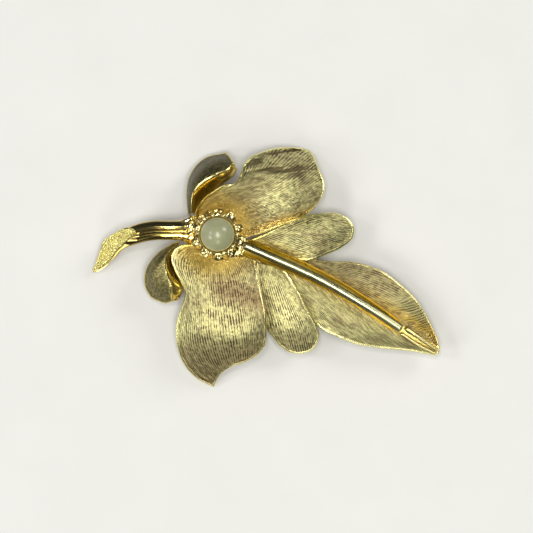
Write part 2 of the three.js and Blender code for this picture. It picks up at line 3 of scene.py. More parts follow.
import bmesh
import bpy
import numpy as np
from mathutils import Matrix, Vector


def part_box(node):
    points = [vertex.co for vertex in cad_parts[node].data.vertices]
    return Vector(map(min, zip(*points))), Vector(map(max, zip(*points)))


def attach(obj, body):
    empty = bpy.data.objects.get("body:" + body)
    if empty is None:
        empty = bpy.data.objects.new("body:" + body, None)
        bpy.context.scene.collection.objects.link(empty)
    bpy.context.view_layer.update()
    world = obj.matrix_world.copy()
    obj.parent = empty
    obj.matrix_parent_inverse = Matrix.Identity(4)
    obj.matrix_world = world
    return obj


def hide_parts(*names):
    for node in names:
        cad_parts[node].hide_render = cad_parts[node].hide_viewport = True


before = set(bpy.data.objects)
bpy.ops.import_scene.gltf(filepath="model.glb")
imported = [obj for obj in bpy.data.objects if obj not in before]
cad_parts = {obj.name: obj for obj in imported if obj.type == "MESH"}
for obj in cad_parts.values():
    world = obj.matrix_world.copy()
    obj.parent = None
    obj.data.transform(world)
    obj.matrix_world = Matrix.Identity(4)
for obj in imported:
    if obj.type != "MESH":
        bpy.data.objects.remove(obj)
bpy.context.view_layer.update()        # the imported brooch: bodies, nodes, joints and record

scene = bpy.context.scene
mm = 0.001
print("frame loaded:", len(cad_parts), "nodes")

# every guide point below is in millimetres from the pearl's axis, counted up from the bench
pearlHeight = 10.15
pearlLow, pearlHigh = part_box("pearl")
hub = np.array([(pearlLow.x + pearlHigh.x) / 2, (pearlLow.y + pearlHigh.y) / 2,
                pearlHigh.z - (pearlHeight + 3) * mm])


def placed(points):
    return np.asarray(points, float) * mm + hub


def newMaterial(name):
    material = bpy.data.materials.new(name)
    material.use_nodes = True
    return material, material.node_tree, material.node_tree.nodes["Principled BSDF"]


def setInputs(node, **values):
    for key, value in values.items():
        node.inputs[key.replace("_", " ")].default_value = value
    return node


def addNode(tree, kind, links=None, **settings):
    node = tree.nodes.new(kind)
    for key, value in settings.items():
        setattr(node, key, value)
    for socket, source in (links or {}).items():
        if isinstance(source, bpy.types.NodeSocket):
            tree.links.new(source, node.inputs[socket])
        else:
            node.inputs[socket].default_value = source
    return node


def mathNode(tree, operation, a, b=None, clamp=False):
    links = {0: a}
    if b is not None:
        links[1] = b
    return addNode(tree, "ShaderNodeMath", links, operation=operation, use_clamp=clamp).outputs[0]


def mapRange(tree, value, low, high, toLow=0.0, toHigh=1.0):
    return addNode(tree, "ShaderNodeMapRange", {0: value, 1: low, 2: high, 3: toLow, 4: toHigh}).outputs[0]


def mixColour(tree, factor, a, b):
    return addNode(tree, "ShaderNodeMix", {0: factor, 6: a, 7: b}, data_type="RGBA").outputs[2]


def noiseNode(tree, vector, scale, detail=2.0, roughness=0.5):
    links = {"Vector": vector, "Scale": scale, "Detail": detail, "Roughness": roughness}
    return addNode(tree, "ShaderNodeTexNoise", links).outputs[0]


def newGroup(name, inputs, outputs):
    tree = bpy.data.node_groups.new(name, "ShaderNodeTree")
    for label, kind, value in inputs:
        socket = tree.interface.new_socket(label, in_out="INPUT", socket_type=kind)
        if value is not None:
            socket.default_value = value
    for label, kind in outputs:
        tree.interface.new_socket(label, in_out="OUTPUT", socket_type=kind)
    return tree, tree.nodes.new("NodeGroupInput"), tree.nodes.new("NodeGroupOutput")


def useGroup(tree, group, **values):
    node = tree.nodes.new("ShaderNodeGroup")
    node.node_tree = group
    for key, value in values.items():
        socket = node.inputs[key.replace("_", " ")]
        if isinstance(value, bpy.types.NodeSocket):
            tree.links.new(value, socket)
        else:
            socket.default_value = value
    return node


def makePlateTone():
    # colour of the plating: cloudy tone; painted shade mixed with random tone darkens it towards the deep
    # colour, the groove tone adds painted shade in lines and on dark sides with scuff stains, and its
    # bright colour already holds the painted amber reflection
    tree, start, end = newGroup("plateTone", [
        ("Vector", "NodeSocketVector", None),
        ("Bright", "NodeSocketColor", (0.9, 0.74, 0.28, 1)),
        ("Deep", "NodeSocketColor", (0.5, 0.36, 0.12, 1)),
        ("Hollow", "NodeSocketFloat", 0.0),
        ("Groove", "NodeSocketFloat", 0.0),
        ("Groove Tone", "NodeSocketColor", (0.3, 0.2, 0.12, 1)),
        ("Cloud Scale", "NodeSocketFloat", 180.0),
        ("Cloud Amount", "NodeSocketFloat", 0.25),
    ], [("Color", "NodeSocketColor"), ("Cloud", "NodeSocketFloat")])
    cloud = noiseNode(tree, start.outputs["Vector"], start.outputs["Cloud Scale"], 4.0, 0.6)
    spread = mapRange(tree, cloud, 0.35, 0.72)
    amount = mathNode(tree, "MULTIPLY", spread, start.outputs["Cloud Amount"])
    dark = mathNode(tree, "MAXIMUM", amount, start.outputs["Hollow"], clamp=True)
    colour = mixColour(tree, dark, start.outputs["Bright"], start.outputs["Deep"])
    colour = mixColour(tree, start.outputs["Groove"], colour, start.outputs["Groove Tone"])
    tree.links.new(colour, end.inputs["Color"])
    tree.links.new(cloud, end.inputs["Cloud"])
    return tree


def makeFineGrain():
    # height of the grain: pits and specks, stretched when the vector is stretched
    tree, start, end = newGroup("fineGrain", [
        ("Vector", "NodeSocketVector", None),
        ("Scale", "NodeSocketFloat", 4000.0),
        ("Pits", "NodeSocketFloat", 0.5),
    ], [("Height", "NodeSocketFloat"), ("Speck", "NodeSocketFloat")])
    fine = noiseNode(tree, start.outputs["Vector"], start.outputs["Scale"], 3.0, 0.65)
    cells = addNode(tree, "ShaderNodeTexVoronoi",
                    {"Vector": start.outputs["Vector"], "Scale": start.outputs["Scale"]})
    pit = mathNode(tree, "MULTIPLY", cells.outputs["Distance"], start.outputs["Pits"])
    tree.links.new(mathNode(tree, "SUBTRACT", fine, pit), end.inputs["Height"])
    tree.links.new(cells.outputs["Distance"], end.inputs["Speck"])
    return tree


def makeEngravedLineShade():
    # painted shade inside each engraved line, broken into dashes along it
    tree, start, end = newGroup("engravedLineShade", [
        ("Phase", "NodeSocketFloat", 0.0),
        ("Along", "NodeSocketFloat", 0.0),
        ("Dash Length", "NodeSocketFloat", 0.0009),
        ("Unevenness", "NodeSocketFloat", 0.7),
    ], [("Groove", "NodeSocketFloat")])
    groove, uneven = lineMarks(tree, start.outputs["Phase"], start.outputs["Along"],
                               start.outputs["Dash Length"],
                               start.outputs["Unevenness"])
    tree.links.new(mathNode(tree, "MULTIPLY", groove, uneven), end.inputs["Groove"])
    return tree


def lineMarks(tree, phase, along, dashLength, unevenness):
    # one engraved line for each whole number of phase; each line has its own row of dashes
    groove = mathNode(tree, "MULTIPLY", mathNode(tree, "PINGPONG", phase, 0.5), 2.0)
    lineNumber = mathNode(tree, "FLOOR", mathNode(tree, "ADD", phase, 0.5))
    luck = addNode(tree, "ShaderNodeTexWhiteNoise", {"W": lineNumber}, noise_dimensions="1D").outputs[0]
    stroke = mathNode(tree, "DIVIDE", along, dashLength)
    place = addNode(tree, "ShaderNodeCombineXYZ",
                    {0: mathNode(tree, "MULTIPLY", luck, 91.0), 1: stroke, 2: luck})
    dash = mapRange(tree, noiseNode(tree, place.outputs[0], 1.0, 1.0), 0.60, 0.42)
    return groove, mathNode(tree, "SUBTRACT", 1.0, mathNode(tree, "MULTIPLY", dash, unevenness))


plateTone = makePlateTone()
fineGrain = makeFineGrain()
engravedLineShade = makeEngravedLineShade()


def goldMaterial(name, finish):
    # gold plate whose finish runs from satin to polished with the piece's polish attribute
    material, tree, shader = newMaterial(name)
    place = addNode(tree, "ShaderNodeTexCoord").outputs["Object"]
    polish = addNode(tree, "ShaderNodeAttribute", attribute_name="polish").outputs["Fac"]
    hollow = addNode(tree, "ShaderNodeAttribute", attribute_name="hollow").outputs["Fac"]
    groove = addNode(tree, "ShaderNodeAttribute", attribute_name="groove").outputs["Fac"]
    warm = addNode(tree, "ShaderNodeAttribute", attribute_name="warm").outputs["Fac"]
    if finish["along"]:
        phase = addNode(tree, "ShaderNodeAttribute", attribute_name="linePhase").outputs["Fac"]
        along = addNode(tree, "ShaderNodeAttribute", attribute_name="lineAlong").outputs["Fac"]
        engraving = addNode(tree, "ShaderNodeAttribute", attribute_name="engraving").outputs["Fac"]
        mark = useGroup(tree, engravedLineShade, Phase=phase, Along=along).outputs["Groove"]
        mark = mathNode(tree, "MULTIPLY", mapRange(tree, mark, *finish["grooveEdge"]), engraving)
        groove = mathNode(tree, "MAXIMUM", mark, groove)
    satin = mathNode(tree, "SUBTRACT", 1.0, polish, clamp=True)
    if finish["along"]:
        grainPlace = addNode(tree, "ShaderNodeUVMap", uv_map="leafUv").outputs[0]
    else:
        grainPlace = place
    coarse = addNode(tree, "ShaderNodeMapping",
                     {"Vector": grainPlace, "Scale": finish["coarse"]}).outputs[0]
    fine = addNode(tree, "ShaderNodeMapping", {"Vector": grainPlace, "Scale": finish["fine"]}).outputs[0]
    scuffs = useGroup(tree, fineGrain, Vector=coarse, Scale=1.0, Pits=0.3)
    grain = useGroup(tree, fineGrain, Vector=fine, Scale=1.0, Pits=0.4)
    stain = mathNode(tree, "MULTIPLY", mapRange(tree, scuffs.outputs["Height"], 0.48, 0.30),
                     finish["stain"])
    stain = mathNode(tree, "MULTIPLY", stain, satin)
    # painted shade in engraved lines and on dark sides, joined with the scuff stains
    groove = mathNode(tree, "MULTIPLY", groove, finish["groove"])
    groove = mathNode(tree, "MAXIMUM", groove, stain, clamp=True)
    # painted amber reflection of neighbouring gold, mixed into the bright colour
    bright = mixColour(tree, warm, finish["bright"], finish["warm"])
    tone = useGroup(tree, plateTone, Vector=place, Bright=bright, Deep=finish["deep"], Hollow=hollow,
                    Cloud_Amount=finish["cloud"], Groove=groove, Groove_Tone=finish["grooveTone"])
    tree.links.new(tone.outputs["Color"], shader.inputs["Base Color"])
    rough = mapRange(tree, satin, 0.0, 1.0, finish["polishRough"], finish["satinRough"])
    mottled = mapRange(tree, tone.outputs["Cloud"], 0.2, 0.8, -0.05, 0.07)
    tree.links.new(mathNode(tree, "ADD", rough, mottled, clamp=True), shader.inputs["Roughness"])
    height = mathNode(tree, "ADD", mathNode(tree, "MULTIPLY", scuffs.outputs["Height"],
                                            finish["coarseBump"]),
                      mathNode(tree, "MULTIPLY", grain.outputs["Height"], finish["fineBump"]))
    height = mathNode(tree, "MULTIPLY", height, mapRange(tree, satin, 0.0, 1.0, 0.08, 1.0))
    bump = addNode(tree, "ShaderNodeBump", {"Strength": 1.0, "Distance": 0.0001, "Height": height})
    tree.links.new(bump.outputs[0], shader.inputs["Normal"])
    setInputs(shader, Metallic=1.0)
    return material


# in each finish the amber colour is the painted reflection of neighbouring gold, deep is painted shade
# mixed with random tone, and the groove tone is painted shade in engraved lines and on dark sides, mixed
# with scuff stains
# used where a finish doesn't say otherwise
commonFinish = {"warm": (0.88, 0.64, 0.17, 1), "along": False}
goldFinishes = {
    "satinGold": {
        "bright": (1.0, 0.95, 0.44, 1), "deep": (0.45, 0.33, 0.16, 1),
        "grooveTone": (0.085, 0.055, 0.03, 1), "cloud": 0.3,
        "warm": (0.95, 0.66, 0.11, 1),
        "satinRough": 0.30, "polishRough": 0.17, "along": True, "coarse": (5200, 2300, 1),
        "fine": (11000, 5000, 1),
        "coarseBump": 1.2, "fineBump": 0.3, "stain": 0.45, "groove": 0.95, "grooveEdge": (0.15, 0.5),
    },
    "grainedGold": {
        "bright": (0.92, 0.78, 0.30, 1), "deep": (0.085, 0.08, 0.04, 1),
        "grooveTone": (0.03, 0.028, 0.018, 1), "cloud": 0.25,
        "satinRough": 0.30, "polishRough": 0.14, "coarse": (2600, 2600, 2600), "fine": (6500, 6500, 6500),
        "coarseBump": 1.3, "fineBump": 0.5, "stain": 0.6, "groove": 0.5,
    },
    "polishedGold": {
        "bright": (0.80, 0.70, 0.33, 1), "deep": (0.42, 0.30, 0.10, 1),
        "grooveTone": (0.075, 0.065, 0.025, 1), "cloud": 0.25,
        "satinRough": 0.20, "polishRough": 0.13, "coarse": (900, 900, 900), "fine": (4200, 4200, 4200),
        "coarseBump": 0.4, "fineBump": 0.2, "stain": 0.2, "groove": 1.0,
    },
    "rodGold": {
        "bright": (0.58, 0.57, 0.33, 1), "deep": (0.45, 0.40, 0.16, 1),
        "grooveTone": (0.13, 0.12, 0.045, 1), "cloud": 0.15,
        "warm": (0.92, 0.70, 0.16, 1),
        "satinRough": 0.30, "polishRough": 0.2, "coarse": (900, 900, 900), "fine": (4200, 4200, 4200),
        "coarseBump": 0.3, "fineBump": 0.2, "stain": 0.15, "groove": 1.0,
    },
    "stippledGold": {
        "bright": (1.0, 0.92, 0.36, 1), "deep": (0.70, 0.55, 0.20, 1), "grooveTone": (0.25, 0.18, 0.09, 1),
        "cloud": 0.3,
        "satinRough": 0.26, "polishRough": 0.15, "coarse": (3800, 3800, 3800), "fine": (9000, 9000, 9000),
        "coarseBump": 1.2, "fineBump": 0.4, "stain": 0.25, "groove": 0.8,
    },
}
golds = [goldMaterial(name, {**commonFinish, **finish}) for name, finish in goldFinishes.items()]
satinGold, grainedGold, polishedGold, rodGold, stippledGold = golds


def makeSteel():
    material, tree, shader = newMaterial("pinSteel")
    place = addNode(tree, "ShaderNodeTexCoord").outputs["Object"]
    streak = addNode(tree, "ShaderNodeMapping",
                     {"Vector": place, "Rotation": (0, 0, 0.4538), "Scale": (600, 9000, 9000)})
    drawn = noiseNode(tree, streak.outputs[0], 1.0, 3.0, 0.6)
    tree.links.new(mixColour(tree, mapRange(tree, drawn, 0.3, 0.7), (0.62, 0.61, 0.57, 1),
                             (0.78, 0.77, 0.74, 1)),
                   shader.inputs["Base Color"])
    tree.links.new(mapRange(tree, drawn, 0.3, 0.7, 0.2, 0.34), shader.inputs["Roughness"])
    bump = addNode(tree, "ShaderNodeBump", {"Strength": 0.6, "Distance": 0.00001, "Height": drawn})
    tree.links.new(bump.outputs[0], shader.inputs["Normal"])
    setInputs(shader, Metallic=1.0)
    return material


def makePearlSkin():
    # nacre: grey green cream, with a painted reflection of the gold warming it low down, and a soft skin
    # over it
    material, tree, shader = newMaterial("pearlSkin")
    place = addNode(tree, "ShaderNodeTexCoord").outputs["Object"]
    height = addNode(tree, "ShaderNodeSeparateXYZ", {0: place}).outputs[2]
    edge = mapRange(tree, height, hub[2] + (pearlHeight + 1.5) * mm, hub[2] + (pearlHeight + 0.1) * mm)
    cloud = noiseNode(tree, place, 420.0, 3.0, 0.55)
    body = mixColour(tree, mapRange(tree, cloud, 0.35, 0.7), (0.285, 0.30, 0.16, 1),
                     (0.345, 0.355, 0.20, 1))
    skin = mixColour(tree, edge, body, (0.86, 0.74, 0.34, 1))
    tree.links.new(skin, shader.inputs["Base Color"])
    tree.links.new(mapRange(tree, cloud, 0.3, 0.7, 0.3, 0.38), shader.inputs["Roughness"])
    fine = noiseNode(tree, place, 5200.0, 2.0, 0.5)
    bump = addNode(tree, "ShaderNodeBump", {"Strength": 0.35, "Distance": 0.00002, "Height": fine})
    tree.links.new(bump.outputs[0], shader.inputs["Normal"])
    setInputs(shader, Metallic=0.0, Coat_Weight=0.5, Coat_Roughness=0.16, Subsurface_Weight=0.15,
              Subsurface_Scale=0.001)
    return material


def makeFloorPaper():
    material, tree, shader = newMaterial("floorPaper")
    place = addNode(tree, "ShaderNodeTexCoord").outputs["Object"]
    cloud = noiseNode(tree, place, 60.0, 4.0, 0.6)
    tree.links.new(mixColour(tree, cloud, (0.70, 0.695, 0.68, 1), (0.76, 0.755, 0.74, 1)),
                   shader.inputs["Base Color"])
    setInputs(shader, Roughness=0.85)
    return material


pinSteel = makeSteel()
pearlSkin = makePearlSkin()
floorPaper = makeFloorPaper()
print("materials made")


def throughPoints(points, ts):
    # centripetal curve through the points; ts from 0 to 1 run evenly by point, leading axes are batches
    points = np.asarray(points, float)
    first = 2 * points[..., :1, :] - points[..., 1:2, :]
    last = 2 * points[..., -1:, :] - points[..., -2:-1, :]
    padded = np.concatenate([first, points, last], axis=-2)
    spans = points.shape[-2] - 1
    place = np.clip(np.asarray(ts, float) * spans, 0, spans - 1e-9)
    cell = place.astype(int)
    w = (place - cell)[:, None]
    p0, p1, p2, p3 = (padded[..., cell + k, :] for k in range(4))

    def knot(a, b):
        return np.sqrt(np.sqrt(((a - b) ** 2).sum(-1, keepdims=True)))

    d1 = knot(p1, p2)
    d1 = np.where(d1 < 1e-4, 1.0, d1)
    d0 = knot(p0, p1)
    d0 = np.where(d0 < 1e-4, d1, d0)
    d2 = knot(p2, p3)
    d2 = np.where(d2 < 1e-4, d1, d2)
    t1 = ((p1 - p0) / d0 - (p2 - p0) / (d0 + d1) + (p2 - p1) / d1) * d1
    t2 = ((p2 - p1) / d1 - (p3 - p1) / (d1 + d2) + (p3 - p2) / d2) * d1
    return p1 + t1 * w + (3 * (p2 - p1) - 2 * t1 - t2) * w ** 2 + (2 * (p1 - p2) + t1 + t2) * w ** 3


def evenAlong(points, us):
    # the same curve, walked evenly by length
    ts = np.linspace(0, 1, 401)
    walked = throughPoints(points, ts)
    steps = np.linalg.norm(np.diff(walked, axis=0), axis=1)
    length = np.concatenate([[0], np.cumsum(steps)])
    return throughPoints(points, np.interp(np.asarray(us) * length[-1], length, ts))


def loft(guides, vs, us, speeds=None):
    # grid of points, one row for each v along the guides and one column for each u across them
    speeds = speeds or [1.0] * len(guides)
    stations = np.stack([evenAlong(g, vs ** s) for g, s in zip(guides, speeds)], axis=1)
    return throughPoints(stations, us)


def gridNormals(grid):
    du = np.gradient(grid, axis=1)
    dv = np.gradient(grid, axis=0)
    normal = np.cross(du, dv)
    normal /= np.linalg.norm(normal, axis=2, keepdims=True) + 1e-12
    return normal * np.sign(normal[..., 2].mean())


def smoothstep(low, high, x):
    t = np.clip((x - low) / (high - low), 0, 1)
    return t * t * (3 - 2 * t)


def gaussian(x, centre, width):
    return np.exp(-((x - centre) / width) ** 2)


def valueNoise(x, y, seed):
    # smooth noise from -1 to 1 on two coordinates
    rng = np.random.default_rng(seed)
    table = rng.uniform(-1, 1, (64, 64))
    xi = np.floor(x).astype(int)
    yi = np.floor(y).astype(int)
    fx = x - xi
    fy = y - yi
    fx = fx * fx * (3 - 2 * fx)
    fy = fy * fy * (3 - 2 * fy)

    def at(a, b):
        return table[a % 64, b % 64]

    low = at(xi, yi) * (1 - fx) + at(xi + 1, yi) * fx
    high = at(xi, yi + 1) * (1 - fx) + at(xi + 1, yi + 1) * fx
    return low * (1 - fy) + high * fy


def borderLoop(rows, cols):
    # indices of a grid's border, walked once round
    near = np.arange(cols)
    right = np.arange(1, rows) * cols + cols - 1
    far = (rows - 1) * cols + np.arange(cols - 2, -1, -1)
    left = np.arange(rows - 2, 0, -1) * cols
    return np.concatenate([near, right, far, left])


def gridQuads(rows, cols, offset=0, flip=False):
    j, i = np.meshgrid(np.arange(rows - 1), np.arange(cols - 1), indexing="ij")
    a = (j * cols + i).ravel() + offset
    quads = np.stack([a, a + 1, a + cols + 1, a + cols], axis=1)
    return quads[:, ::-1] if flip else quads


def pieceFrom(name, verts, faces, attributes=None, uv=None):
    mesh = bpy.data.meshes.new(name)
    mesh.from_pydata(np.asarray(verts).tolist(), [],
                     faces.tolist() if isinstance(faces, np.ndarray) else faces)
    for key, values in (attributes or {}).items():
        mesh.attributes.new(key, "FLOAT", "POINT").data.foreach_set("value", np.asarray(values, np.float32))
    if uv is not None:
        layer = mesh.uv_layers.new(name="leafUv")
        loops = np.zeros(len(mesh.loops), int)
        mesh.loops.foreach_get("vertex_index", loops)
        layer.data.foreach_set("uv", np.asarray(uv, np.float32)[loops].ravel())
    mesh.validate()
    mesh.update()
    piece = bpy.data.objects.new(name, mesh)
    scene.collection.objects.link(piece)
    return piece


def faceOutwards(piece):
    build = bmesh.new()
    build.from_mesh(piece.data)
    bmesh.ops.recalc_face_normals(build, faces=build.faces)
    build.to_mesh(piece.data)
    build.free()


def smoothShade(piece, angle=None):
    for face in piece.data.polygons:
        face.use_smooth = True
    if angle is not None:
        piece.data.set_sharp_from_angle(angle=math.radians(angle))


def shellFromGrid(name, grid, thickness, fields, uv, rimBulge=0.12):
    # closed sheet: upper grid, lower grid one thickness under it, and a rounded rim between
    rows, cols = grid.shape[:2]
    normals = gridNormals(grid)
    facing = np.maximum(np.abs(normals[..., 2:3]), 0.6)
    lower = grid - np.array([0, 0, 1.0]) * thickness / facing
    count = rows * cols
    verts = [grid.reshape(-1, 3), lower.reshape(-1, 3)]
    faces = [gridQuads(rows, cols), gridQuads(rows, cols, count, flip=True)]
    loop = borderLoop(rows, cols)
    topEdge = grid.reshape(-1, 3)[loop]
    lowEdge = lower.reshape(-1, 3)[loop]
    ahead = np.roll(topEdge, -1, axis=0) - np.roll(topEdge, 1, axis=0)
    outward = np.stack([ahead[:, 1], -ahead[:, 0], np.zeros(len(loop))], axis=1)
    outward /= np.linalg.norm(outward, axis=1, keepdims=True) + 1e-9
    centre = grid.reshape(-1, 3).mean(0)
    if ((topEdge - centre) * outward).sum() < 0:
        outward = -outward
    bands = [loop]
    for k, s in enumerate((0.2, 0.5, 0.8)):
        verts.append(topEdge * (1 - s) + lowEdge * s + outward * rimBulge * math.sin(math.pi * s))
        bands.append(np.arange(len(loop)) + 2 * count + k * len(loop))
    bands.append(loop + count)
    for near, far in zip(bands[:-1], bands[1:]):
        faces.append(np.stack([near, far, np.roll(far, -1), np.roll(near, -1)], axis=1))
    allVerts = placed(np.concatenate(verts))
    rimCount = 3 * len(loop)
    attributes = {}
    for key, (field, lowValue, rimValue) in fields.items():
        attributes[key] = np.concatenate([field.ravel(), np.full(count, lowValue),
                                          np.full(rimCount, rimValue)])
    loopUv = uv.reshape(-1, 2)[loop]
    allUv = np.concatenate([uv.reshape(-1, 2), uv.reshape(-1, 2), loopUv, loopUv, loopUv])
    piece = pieceFrom(name, allVerts, np.concatenate(faces), attributes, allUv)
    faceOutwards(piece)
    return piece


def makeEngraver():
    tree = bpy.data.node_groups.new("engraveLines", "GeometryNodeTree")
    tree.is_modifier = True
    face = tree.interface
    face.new_socket("Geometry", in_out="INPUT", socket_type="NodeSocketGeometry")
    sizes = [("Line Depth", 0.00003), ("Line Wobble", 0.25), ("Wobble Scale", 300.0),
             ("Dash Length", 0.001),
             ("Uneven Depth", 0.5), ("Grain Depth", 0.00001), ("Grain Scale", 2500.0)]
    for label, value in sizes:
        face.new_socket(label, in_out="INPUT", socket_type="NodeSocketFloat").default_value = value
    face.new_socket("Seed", in_out="INPUT", socket_type="NodeSocketInt").default_value = 1
    face.new_socket("Finish", in_out="INPUT", socket_type="NodeSocketMaterial")
    face.new_socket("Geometry", in_out="OUTPUT", socket_type="NodeSocketGeometry")
    start = tree.nodes.new("NodeGroupInput")
    end = tree.nodes.new("NodeGroupOutput")

    def field(name):
        node = addNode(tree, "GeometryNodeInputNamedAttribute", data_type="FLOAT")
        node.inputs["Name"].default_value = name
        return node.outputs["Attribute"]

    position = addNode(tree, "GeometryNodeInputPosition").outputs[0]
    seed = start.outputs["Seed"]
    wander = addNode(tree, "ShaderNodeTexNoise",
                     {"Vector": position, "W": seed, "Scale": start.outputs["Wobble Scale"],
                                                  "Detail": 2.0}, noise_dimensions="4D").outputs[0]
    wander = mathNode(tree, "MULTIPLY", mathNode(tree, "SUBTRACT", wander, 0.5),
                      start.outputs["Line Wobble"])
    phase = mathNode(tree, "ADD", mathNode(tree, "ADD", field("linePhase"), wander), seed)
    groove, uneven = lineMarks(tree, phase, field("lineAlong"), start.outputs["Dash Length"],
                               start.outputs["Uneven Depth"])
    cut = mathNode(tree, "MULTIPLY", mathNode(tree, "MULTIPLY", groove, uneven), field("engraving"))
    cut = mathNode(tree, "MULTIPLY", cut, start.outputs["Line Depth"])
    grain = addNode(tree, "ShaderNodeTexNoise",
                    {"Vector": position, "W": seed, "Scale": start.outputs["Grain Scale"],
                                                 "Detail": 2.0}, noise_dimensions="4D").outputs[0]
    grain = mathNode(tree, "MULTIPLY", mathNode(tree, "SUBTRACT", grain, 0.5), start.outputs["Grain Depth"])
    grain = mathNode(tree, "MULTIPLY", grain, field("graining"))
    rise = mathNode(tree, "SUBTRACT", grain, cut)
    normal = addNode(tree, "GeometryNodeInputNormal").outputs[0]
    shift = addNode(tree, "ShaderNodeVectorMath", {0: normal, "Scale": rise}, operation="SCALE").outputs[0]
    marked = addNode(tree, "GeometryNodeStoreNamedAttribute",
                     {"Geometry": start.outputs["Geometry"], "Name": "linePhase"},
                     data_type="FLOAT", domain="POINT")
    tree.links.new(phase, marked.inputs["Value"])
    moved = addNode(tree, "GeometryNodeSetPosition", {"Geometry": marked.outputs[0], "Offset": shift})
    real = addNode(tree, "GeometryNodeRealizeInstances", {"Geometry": moved.outputs[0]})
    coated = addNode(tree, "GeometryNodeSetMaterial",
                     {"Geometry": real.outputs[0], "Material": start.outputs["Finish"]})
    tree.links.new(coated.outputs[0], end.inputs[0])
    return tree


engraver = makeEngraver()


def bakeNodes(piece, tree, **values):
    # runs a geometry node tree on a piece and keeps the result as its plain mesh
    modifier = piece.modifiers.new("shape", "NODES")
    modifier.node_group = tree
    sockets = {item.name: item.identifier for item in tree.interface.items_tree if item.in_out == "INPUT"}
    for key, value in values.items():
        modifier[sockets[key.replace("_", " ")]] = value
    graph = bpy.context.evaluated_depsgraph_get()
    made = bpy.data.meshes.new_from_object(piece.evaluated_get(graph))
    piece.modifiers.remove(modifier)
    old = piece.data
    piece.data = made
    made.name = piece.name
    bpy.data.meshes.remove(old)
    return piece


